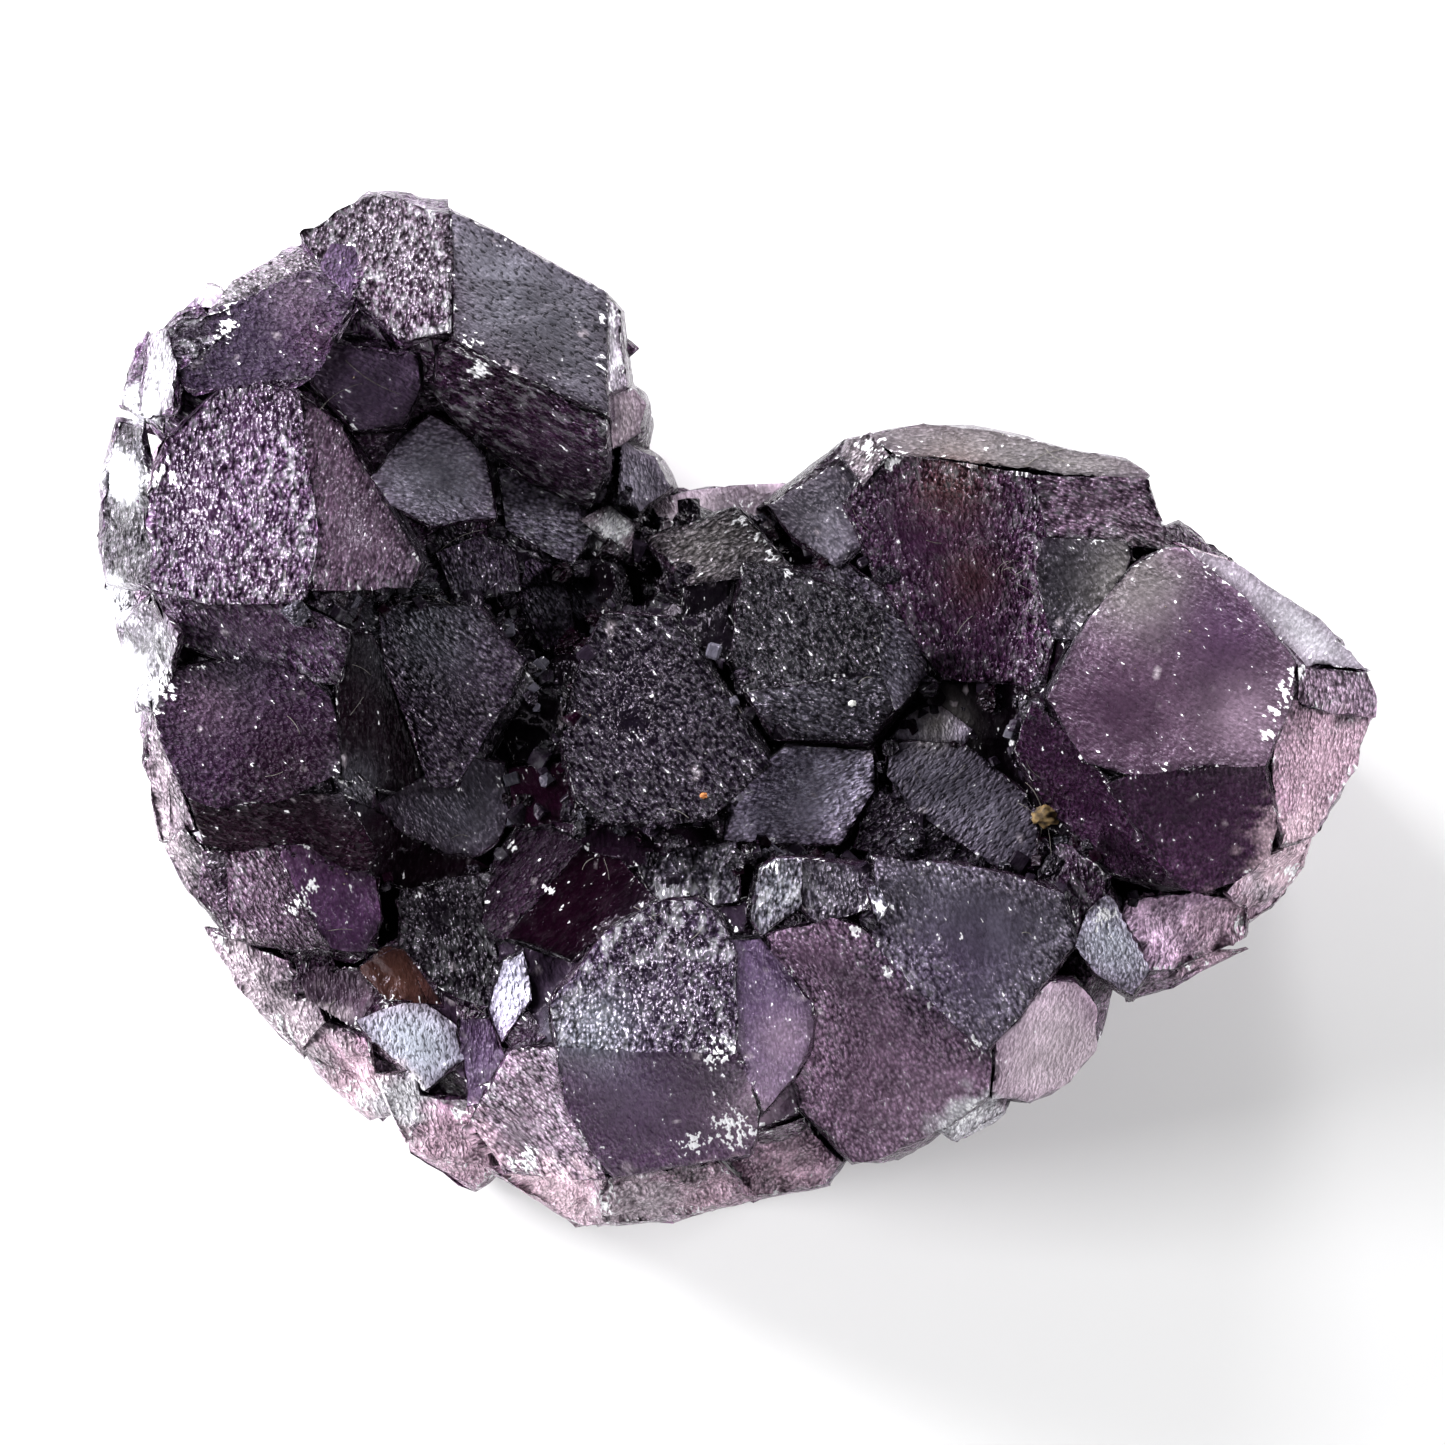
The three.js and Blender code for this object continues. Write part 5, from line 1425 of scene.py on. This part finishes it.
@dataclass
class Studio:
    """A pale floor, soft light and the camera that looks down on the cluster.

    Args:
        floor_size: Side of the floor, in metres.
        lens_away: Height of the camera over the floor, in metres.
        pixels_per_mm: How large the photograph shows the cluster.
        middle: Pixel of the photograph over which the origin lies.
        face_height: Height of the crystals' faces that this scale is for, in metres.
        paper: Colour of the floor.
        aim: Where the lights point.
        nearest: How near to the camera it still sees, in metres.
    """

    floor_size: float = 1.2
    lens_away: float = 0.5
    pixels_per_mm: float = 25.56
    middle: tuple[float, float] = (737.0, 716.0)
    face_height: float = 0.015
    paper: Colour = (0.88, 0.88, 0.885)
    aim: tuple[float, float, float] = (0.0, 0.0, 0.01)
    nearest: float = 0.01

    def build(self) -> None:
        """Makes the floor, the lights and the camera."""
        self.floor()
        self.sky()
        for name, place, size, power in (
            ("key_light", (-0.24, 0.19, 0.11), 0.18, 3.7),
            ("left_light", (-0.26, -0.03, 0.11), 0.075, 0.95),
            ("far_light", (0.04, 0.30, 0.09), 0.075, 0.60),
            ("right_light", (0.26, 0.07, 0.12), 0.075, 0.75),
        ):
            self.soft_light(name, place, size, power)
        self.camera()

    def floor(self) -> None:
        """Makes the floor."""
        deselect_all()
        bpy.ops.mesh.primitive_plane_add(size=self.floor_size)
        floor = bpy.context.object
        floor.name = "floor"
        made = bpy.data.materials.new("floor_paper")
        made.use_nodes = True
        bench = NodeBench(made.node_tree)
        shader = bench.add("ShaderNodeBsdfPrincipled", {"Base Color": rgba(self.paper), "Roughness": 0.8})
        bench.add("ShaderNodeOutputMaterial", {"Surface": shader.outputs[0]})
        floor.data.materials.append(made)

    def sky(self) -> None:
        """Makes light from all round, dimmer straight above, where the camera is."""
        world = bpy.data.worlds.new("soft_light")
        world.use_nodes = True
        bench = NodeBench(world.node_tree)
        direction = bench.add("ShaderNodeTexCoord").outputs["Generated"]
        parts = bench.add("ShaderNodeSeparateXYZ", {"Vector": direction}).outputs
        around = bench.scaled(parts["Z"], 0.0, 0.5, 3.9, 0.08)
        far = bench.scaled(parts["Y"], -0.7, 0.3, 0.12, 1.0)
        low = bench.scaled(parts["Z"], 0.0, 0.35, 3.2, 0.0)
        near = bench.maths("MULTIPLY", low, bench.scaled(parts["Y"], -0.3, -0.8, 0.0, 1.0))
        strength = bench.maths("MULTIPLY_ADD", around, far, near)
        light = bench.add("ShaderNodeBackground", {"Color": (1, 1, 1, 1), "Strength": strength})
        bench.add("ShaderNodeOutputWorld", {"Surface": light.outputs[0]})
        bpy.context.scene.world = world
        bpy.context.scene.view_settings.view_transform = "Standard"

    def soft_light(self, name: str, place: tuple[float, float, float], size: float, power: float) -> None:
        """Makes a square soft light that faces the cluster.

        Args:
            name: Its name.
            place: Where it is, in metres.
            size: Length of its side, in metres.
            power: Its power, in watts.
        """
        light = bpy.data.lights.new(name, "AREA")
        light.size = size
        light.energy = power
        holder = bpy.data.objects.new(name, light)
        holder.location = place
        holder.rotation_euler = (Vector(self.aim) - Vector(place)).to_track_quat("-Z", "Y").to_euler()
        bpy.context.scene.collection.objects.link(holder)

    def camera(self) -> None:
        """Makes the camera."""
        lens = bpy.data.cameras.new("camera")
        away = self.lens_away - self.face_height
        lens.lens = self.pixels_per_mm / MM * lens.sensor_width * away / PHOTO_PIXELS
        lens.clip_start = self.nearest
        holder = bpy.data.objects.new("camera", lens)
        half = PHOTO_PIXELS / 2
        holder.location = (
            (half - self.middle[0]) / self.pixels_per_mm * MM,
            (self.middle[1] - half) / self.pixels_per_mm * MM,
            self.lens_away,
        )
        bpy.context.scene.collection.objects.link(holder)
        bpy.context.scene.camera = holder


class Ground:
    """Finds places on the finished crystals, in millimetres."""

    def __init__(self, piece: bpy.types.Object) -> None:
        """Reads the crystals' mesh.

        Args:
            piece: The finished crystals.
        """
        mesh = piece.data
        self.points = read_numbers(mesh.vertices, "co", np.float32, 3).astype(float) / MM
        self.corners = read_numbers(mesh.polygons, "vertices", np.int32, 3)
        self.normals = read_numbers(mesh.polygons, "normal", np.float32, 3).astype(float)
        self.area = read_numbers(mesh.polygons, "area", np.float32).astype(float)
        self.cleft = read_numbers(mesh.attributes["cleft"].data, "value", np.float32)[self.corners].mean(axis=1)
        self.middle = self.points[self.corners].mean(axis=1)
        self.tree = surface_tree(mesh)

    def scatter(self, random: np.random.Generator, count: int, weight: np.ndarray) -> np.ndarray:
        """Chooses triangles by chance.

        Args:
            random: Source of chance.
            count: How many.
            weight: How likely a square millimetre of each triangle is.

        Returns:
            The numbers of the triangles.
        """
        share = weight * self.area
        return random.choice(len(share), count, p=share / share.sum())

    def covers(self, piece: bpy.types.Object) -> bool:
        """Tells whether a piece is hidden from straight above.

        Args:
            piece: The piece, not parented to anything.

        Returns:
            True if some of the crystals is over each of its vertices.
        """
        matrix = piece.matrix_basis
        return all(self.tree.ray_cast(matrix @ vertex.co, Vector((0, 0, 1)))[0] for vertex in piece.data.vertices)

    def drop(self, x: float, y: float) -> Vector:
        """Finds the highest place of the crystals over a spot.

        Args:
            x: How far to the right.
            y: How far up.

        Returns:
            The place, in millimetres.
        """
        hit = self.tree.ray_cast(Vector((x * MM, y * MM, 0.1)), Vector((0, 0, -1)))[0]
        return hit / MM if hit else Vector((x, y, 0.0))


@dataclass
class Druse:
    """Small crystals that crust the sides and grow in the hollows.

    Args:
        side_count: How many are on the sides.
        hollow_count: How many are in the clefts and hollows.
        side_size: Smallest and largest width on the sides, in millimetres.
        hollow_size: The same in the hollows.
        seed: Number that all chance follows from.
    """

    side_count: int = 1500
    hollow_count: int = 480
    side_size: tuple[float, float] = (0.5, 1.3)
    hollow_size: tuple[float, float] = (0.35, 0.9)
    seed: int = 23

    def cut_cube(self, name: str, cut: float, where: str) -> bpy.types.Object:
        """Models one small crystal, a cube with its edges or corners cut.

        Args:
            name: Its name.
            cut: How much is cut off, for a cube one unit wide.
            where: What is cut, EDGES or VERTICES as Blender names them.

        Returns:
            The crystal, one unit wide.
        """
        deselect_all()
        bpy.ops.mesh.primitive_cube_add(size=1.0)
        made = bpy.context.object
        made.name = name
        bpy.ops.object.mode_set(mode="EDIT")
        bpy.ops.mesh.select_all(action="SELECT")
        bpy.ops.mesh.bevel(offset=cut, segments=1, affect=where)
        bpy.ops.mesh.select_all(action="SELECT")
        bpy.ops.mesh.quads_convert_to_tris()
        bpy.ops.object.mode_set(mode="OBJECT")
        return made

    def build(self, ground: Ground, finish: bpy.types.Material) -> bpy.types.Object:
        """Makes the piece.

        Args:
            ground: The crystals that it sits on.
            finish: Its material.

        Returns:
            The finished piece.
        """
        random = np.random.default_rng(self.seed)
        kinds = [self.cut_cube("small_cube", 0.08, "EDGES"), self.cut_cube("worn_cube", 0.16, "EDGES"),
                 self.cut_cube("cut_octahedron", 0.42, "VERTICES")]
        up = ground.normals[:, 2]
        height = ground.middle[:, 2]
        side = (height > 0.8) & (height < 11.0) & (up < 0.45) & (up > -0.6)
        outer = np.hypot(ground.middle[:, 0] / 24.0, ground.middle[:, 1] / 18.5)
        hollow = (ground.cleft > 1.3) & (up > -0.2) & (height > 8.0) & (ground.middle[:, 1] > -8.0) & (outer < 0.78)
        places = [(face, True) for face in ground.scatter(random, self.side_count, (side & (outer > 0.72)) * 1.0)]
        places += [(face, False) for face in ground.scatter(random, self.hollow_count, hollow * 1.0)]
        copies = []
        for face, on_side in places:
            copy = self.grow(ground, kinds, face, on_side, random)
            if on_side and not ground.covers(copy):
                bpy.data.objects.remove(copy)
            else:
                copies.append(copy)
        log.info("%d small crystals", len(copies))
        for kind in kinds:
            bpy.data.objects.remove(kind)
        return join_pieces(copies, "druse_crystals", finish)

    def grow(self, ground: Ground, kinds: list[bpy.types.Object], face: int, on_side: bool,
             random: np.random.Generator) -> bpy.types.Object:
        """Sets one small crystal on a triangle of the cluster.

        Args:
            ground: The crystals that it sits on.
            kinds: The small crystals to copy.
            face: Number of the triangle.
            on_side: Whether it is on the sides.
            random: Source of chance.

        Returns:
            The copy, with its own mesh.
        """
        low, high = self.side_size if on_side else self.hollow_size
        size = low + (high - low) * random.random() ** 2
        mesh = kinds[random.integers(len(kinds))].data.copy()
        copy = bpy.data.objects.new("small_crystal", mesh)
        normal = Vector(ground.normals[face])
        lean = Vector(random.normal(0.0, 0.35, 3)) + normal
        spin = random.uniform(0.0, 2.0 * math.pi)
        copy.rotation_euler = (lean.to_track_quat("Z", "Y") @ Vector((0, 0, 1)).rotation_difference(
            Vector((math.sin(spin) * 0.6, math.cos(spin) * 0.6, 1.0)))).to_euler()
        copy.location = (Vector(ground.middle[face]) - normal * size * random.uniform(0.28, 0.46)) * MM
        copy.scale = Vector((1.0, random.uniform(0.75, 1.25), random.uniform(0.8, 1.2))) * size * MM
        bpy.context.scene.collection.objects.link(copy)
        self.dress(mesh, size, ground.middle[face], on_side, random)
        return copy

    def dress(self, mesh: bpy.types.Mesh, size: float, place: np.ndarray, on_side: bool,
              random: np.random.Generator) -> None:
        """Stores on a small crystal what the material reads, one look all over.

        Args:
            mesh: The small crystal's mesh, one unit wide.
            size: Its width, in millimetres.
            place: Where it sits, in millimetres.
            on_side: Whether it is on the sides.
            random: Source of chance.
        """
        points = read_numbers(mesh.vertices, "co", np.float32, 3) * size
        corners = read_numbers(mesh.loops, "vertex_index", np.int32)
        facing = np.repeat(read_numbers(mesh.polygons, "normal", np.float32, 3), 3, axis=0)
        dominant = np.abs(facing).argmax(axis=1)
        pick = np.array([(1, 2), (0, 2), (0, 1)])[dominant]
        spots = np.take_along_axis(points[corners], pick, axis=1) + random.uniform(-40.0, 40.0, 2) + dominant[:, None]
        write_attribute(mesh, "pattern", "FLOAT_VECTOR", "CORNER", np.c_[spots, np.zeros(len(spots))])
        tint, grain = self.look(place, on_side, random)
        count = len(corners)
        shade = math.exp(random.normal(0.0, 0.35))
        # share of painted glints on this small crystal
        painted_glint_share = random.uniform(0.0, 0.6 if on_side else 0.25)
        relief = [grain.sparkle * 0.6, grain.ripple, grain.pits, grain.roughness]
        write_attribute(mesh, "tint", "FLOAT_COLOR", "CORNER", np.tile([*(np.array(tint) * shade), painted_glint_share], (count, 1)))
        write_attribute(mesh, "relief", "FLOAT_COLOR", "CORNER", np.tile(relief, (count, 1)))
        write_attribute(mesh, "edge", "FLOAT", "POINT", np.zeros(len(mesh.vertices)))
        write_attribute(mesh, "shine", "FLOAT", "CORNER", np.full(count, grain.shine * (1.0 if on_side else 0.6)))

    def look(self, place: np.ndarray, on_side: bool, random: np.random.Generator) -> tuple[Colour, Grain]:
        """Chooses the colour and surface of one small crystal.

        Args:
            place: Where it is, in millimetres.
            on_side: Whether it is on the sides.
            random: Source of chance.

        Returns:
            Its colour and its surface.
        """
        chance = random.random()
        if not on_side:
            tint = Tint.INK if chance < 0.7 else Tint.WINE if chance < 0.88 else Tint.SLATE
            return tint.value, (Relief.GLASSY if random.random() < 0.5 else Relief.RIPPLED).value
        pale = chance + (0.30 if place[1] < -4.0 else 0.0) + (0.15 if place[0] < -18.0 else 0.0)
        pale += 0.25 if place[0] > 18.0 else 0.0
        pale -= 0.25 if place[1] > 4.0 else 0.0
        tint = Tint.WHITE_AND_PAINTED_GLINT if pale > 1.12 else Tint.PINK if pale > 0.95 else Tint.LILAC if pale > 0.7 else Tint.PURPLE
        if pale < 0.35:
            tint = Tint.PLUM
        return tint.value, (Relief.GLASSY if random.random() < 0.4 else Relief.FROSTED).value


@dataclass(frozen=True)
class DirtFinish:
    """A dull, uneven finish for the bits of dirt.

    Args:
        name: Its name.
        colour: Its main colour.
        other: The colour that is mixed in.
        roughness: How far reflections spread.
        grain: How fine the mixture is, in spots to a metre.
    """

    name: str
    colour: Colour
    other: Colour
    roughness: float = 0.8
    grain: float = 4000.0

    def material(self) -> bpy.types.Material:
        """Builds the material, which mixes two colours by noise over the object's own coordinates."""
        made = bpy.data.materials.new(self.name)
        made.use_nodes = True
        bench = NodeBench(made.node_tree)
        place = bench.add("ShaderNodeTexCoord").outputs["Object"]
        noise = bench.add("ShaderNodeTexNoise", {"Vector": place, "Scale": self.grain, "Detail": 3.0}).outputs["Fac"]
        colour = bench.blend(bench.scaled(noise, 0.4, 0.6, 0.0, 1.0), rgba(self.colour), rgba(self.other))
        bump = bench.add("ShaderNodeBump", {"Height": noise, "Strength": 0.6, "Distance": 0.05 * MM}).outputs[0]
        shader = bench.add("ShaderNodeBsdfPrincipled",
                           {"Base Color": colour, "Roughness": self.roughness, "Normal": bump})
        bench.add("ShaderNodeOutputMaterial", {"Surface": shader.outputs[0]})
        return made


@dataclass
class Fibre:
    """One thin hair that lies on the crystals.

    Args:
        start: Where it starts on the plan, in millimetres.
        end: Where it ends.
        bow: How far its middle bends to the side.
        lift: How high its middle stands off the crystals.
    """

    start: tuple[float, float]
    end: tuple[float, float]
    bow: float = 0.3
    lift: float = 0.1

    def build(self, ground: Ground, thickness: float) -> bpy.types.Object:
        """Makes the hair.

        Args:
            ground: The crystals that it lies on.
            thickness: Its width, in millimetres.

        Returns:
            The hair, as a mesh.
        """
        deselect_all()
        bpy.ops.curve.primitive_nurbs_path_add()
        hair = bpy.context.object
        hair.data.bevel_depth = thickness / 2 * MM
        hair.data.bevel_resolution = 1
        hair.data.resolution_u = 4
        hair.data.use_fill_caps = True
        start, end = Vector(self.start), Vector(self.end)
        aside = (end - start).orthogonal().normalized() * self.bow
        points = hair.data.splines[0].points
        last = len(points) - 1
        for number, point in enumerate(points):
            share = number / last
            bulge = math.sin(math.pi * share)
            wave = math.sin(7.0 * share + self.bow * 20.0) * self.bow * 0.25
            spot = start.lerp(end, share) + aside * (bulge + wave)
            place = ground.drop(*spot)
            place.z += thickness * 0.3 + self.lift * bulge
            point.co = (*(place * MM), 1.0)
        bpy.ops.object.convert(target="MESH")
        return bpy.context.object


@dataclass
class Dirt:
    """The crumb, hairs and dust that lie on the cluster.

    Args:
        hair_width: Width of the hairs, in millimetres.
        stray_count: How many short hairs are strewn, of which those in the hollows are left out.
        speck_count: How many specks of dust there are.
        seed: Number that all chance follows from.
    """

    hair_width: float = 0.024
    stray_count: int = 34
    speck_count: int = 150
    seed: int = 41

    def crumb(self, ground: Ground, name: str, spot: tuple[float, float], size: float, finish: DirtFinish
              ) -> bpy.types.Object:
        """Makes a crumb, an icosphere pressed out of shape.

        Args:
            ground: The crystals that it lies on.
            name: Its name.
            spot: Where it is on the plan, in millimetres.
            size: Its length, in millimetres.
            finish: Its finish.

        Returns:
            The crumb.
        """
        deselect_all()
        bpy.ops.mesh.primitive_ico_sphere_add(subdivisions=4, radius=0.5)
        crumb = bpy.context.object
        crumb.name = name
        mesh = crumb.data
        noise = SeededNoise(self.seed)
        points = read_numbers(mesh.vertices, "co", np.float32, 3).astype(float)
        points *= (1.0 + 0.9 * noise.layered(points * 3.2 + 9.0, 3))[:, None] * (1.1, 0.75, 0.6)
        place = np.array(ground.drop(*spot)) + (0.0, 0.0, size * 0.16)
        mesh.vertices.foreach_set("co", ((points * size + place) * MM).astype(np.float32).ravel())
        bpy.ops.object.shade_smooth_by_angle(angle=math.radians(40.0))
        mesh.materials.append(finish.material())
        return crumb

    def crumbs(self, ground: Ground) -> list[bpy.types.Object]:
        """Makes the tan crumb and the two bright grains.

        Args:
            ground: The crystals that they lie on.

        Returns:
            The three pieces.
        """
        return [self.crumb(ground, name, spot, size, DirtFinish(*finish)) for name, spot, size, finish in (
            ("tan_crumb", (12.1, -3.9), 0.9, ("tan_dirt", (0.16, 0.10, 0.035), (0.05, 0.03, 0.012))),
            ("orange_grain", (-1.3, -3.1), 0.24, ("orange_dirt", (0.55, 0.20, 0.05), (0.35, 0.12, 0.03))),
            ("white_grain", (4.5, 0.5), 0.26, ("white_dirt", (0.80, 0.80, 0.78), (0.60, 0.60, 0.58))),
        )]

    def hairs(self, ground: Ground) -> bpy.types.Object:
        """Makes the hairs, joined in one piece.

        Args:
            ground: The crystals that they lie on.

        Returns:
            The piece.
        """
        random = np.random.default_rng(self.seed + 1)
        fibres = [
            Fibre((11.3, -2.6), (11.9, -3.6), 0.15, 0.3), Fibre((11.6, -2.9), (12.3, -5.8), 0.3, 0.2),
            Fibre((11.0, -3.4), (11.9, -4.3), 0.2, 0.3), Fibre((12.0, -4.2), (12.0, -6.0), -0.2, 0.1),
            Fibre((-15.0, 2.0), (-14.3, 1.6), 0.1), Fibre((-17.5, 0.0), (-17.0, -0.7), 0.1),
            Fibre((-11.8, 6.3), (-9.9, 7.3), 0.25, 0.2), Fibre((-12.7, 4.7), (-11.2, 4.4), 0.2, 0.2),
            Fibre((-16.3, 11.7), (-14.6, 12.9), 0.3, 0.1), Fibre((-15.2, 13.8), (-13.1, 12.5), -0.2, 0.1),
            Fibre((10.1, 5.6), (11.0, 6.0), 0.3, 0.2), Fibre((10.3, 6.2), (11.2, 5.3), -0.2, 0.3),
            Fibre((10.5, 5.2), (10.7, 6.0), 0.4, 0.2), Fibre((10.8, 5.5), (11.3, 6.3), -0.3, 0.2),
            Fibre((10.4, 5.7), (10.9, 5.4), 0.3, 0.3), Fibre((8.6, 3.2), (9.2, 3.9), 0.1),
            Fibre((11.2, 9.7), (12.8, 10.4), 0.2), Fibre((12.0, 10.4), (13.2, 9.8), -0.2),
            Fibre((0.0, 0.4), (1.4, -2.0), 0.05, 0.0), Fibre((-5.2, -5.6), (-5.0, -6.4), 0.05, 0.2),
        ]
        for _ in range(self.stray_count):
            spot = random.uniform((-22.0, -14.0), (21.0, 14.0))
            way = random.uniform(0.0, 2.0 * math.pi)
            length = random.uniform(0.35, 1.1)
            end = spot + length * np.array([math.cos(way), math.sin(way)])
            if ground.drop(*spot).z > 12.0 and ground.drop(*end).z > 12.0:
                fibres.append(Fibre(tuple(spot), tuple(end), random.uniform(-0.15, 0.15), 0.05))
        made = [fibre.build(ground, self.hair_width * random.uniform(0.6, 1.1)) for fibre in fibres]
        finish = DirtFinish("lint", (0.15, 0.14, 0.13), (0.08, 0.07, 0.055), 0.6)
        return join_pieces(made, "lint_hairs", finish.material())

    def dust(self, ground: Ground) -> bpy.types.Object:
        """Makes the specks of dust, copies of one speck joined in one piece.

        Args:
            ground: The crystals that they lie on.

        Returns:
            The piece.
        """
        random = np.random.default_rng(self.seed + 2)
        deselect_all()
        bpy.ops.mesh.primitive_ico_sphere_add(subdivisions=1, radius=1.0)
        speck = bpy.context.object
        up = ground.normals[:, 2]
        weight = ((up > 0.3) & (ground.middle[:, 2] > 11.0)) * np.where(
            (ground.middle[:, 0] > 4.0) & (ground.middle[:, 1] > 2.0), 2.5, 1.0)
        copies = []
        for face in ground.scatter(random, self.speck_count, weight):
            copy = bpy.data.objects.new("speck", speck.data.copy())
            size = 0.014 + 0.034 * random.random() ** 3
            copy.scale = random.uniform(0.6, 1.3, 3) * size * MM
            copy.location = (ground.middle[face] + ground.normals[face] * size * 0.4) * MM
            copy.rotation_euler = random.uniform(0.0, 3.0, 3)
            bpy.context.scene.collection.objects.link(copy)
            copies.append(copy)
        bpy.data.objects.remove(speck)
        finish = DirtFinish("dust", (0.22, 0.21, 0.20), (0.16, 0.12, 0.08), 0.7, 900.0)
        return join_pieces(copies, "dust_specks", finish.material())


def carry(piece: bpy.types.Object) -> None:
    """Lets a piece ride on the part."""
    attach(piece, BODY)
    log.info("%s: %d faces", piece.name, len(piece.data.polygons))


def main() -> None:
    """Builds the pieces in order."""
    logging.basicConfig(level=logging.INFO, format="%(asctime)s %(message)s")
    crystals = CrystalSkin().build()
    carry(crystals)
    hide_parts(CAD_NODE)
    ground = Ground(crystals)
    druse = Druse().build(ground, crystals.data.materials[0])
    carry(druse)
    dirt = Dirt()
    for piece in (*dirt.crumbs(ground), dirt.hairs(ground), dirt.dust(ground)):
        carry(piece)
    Studio().build()


if __name__ == "__main__":
    main()
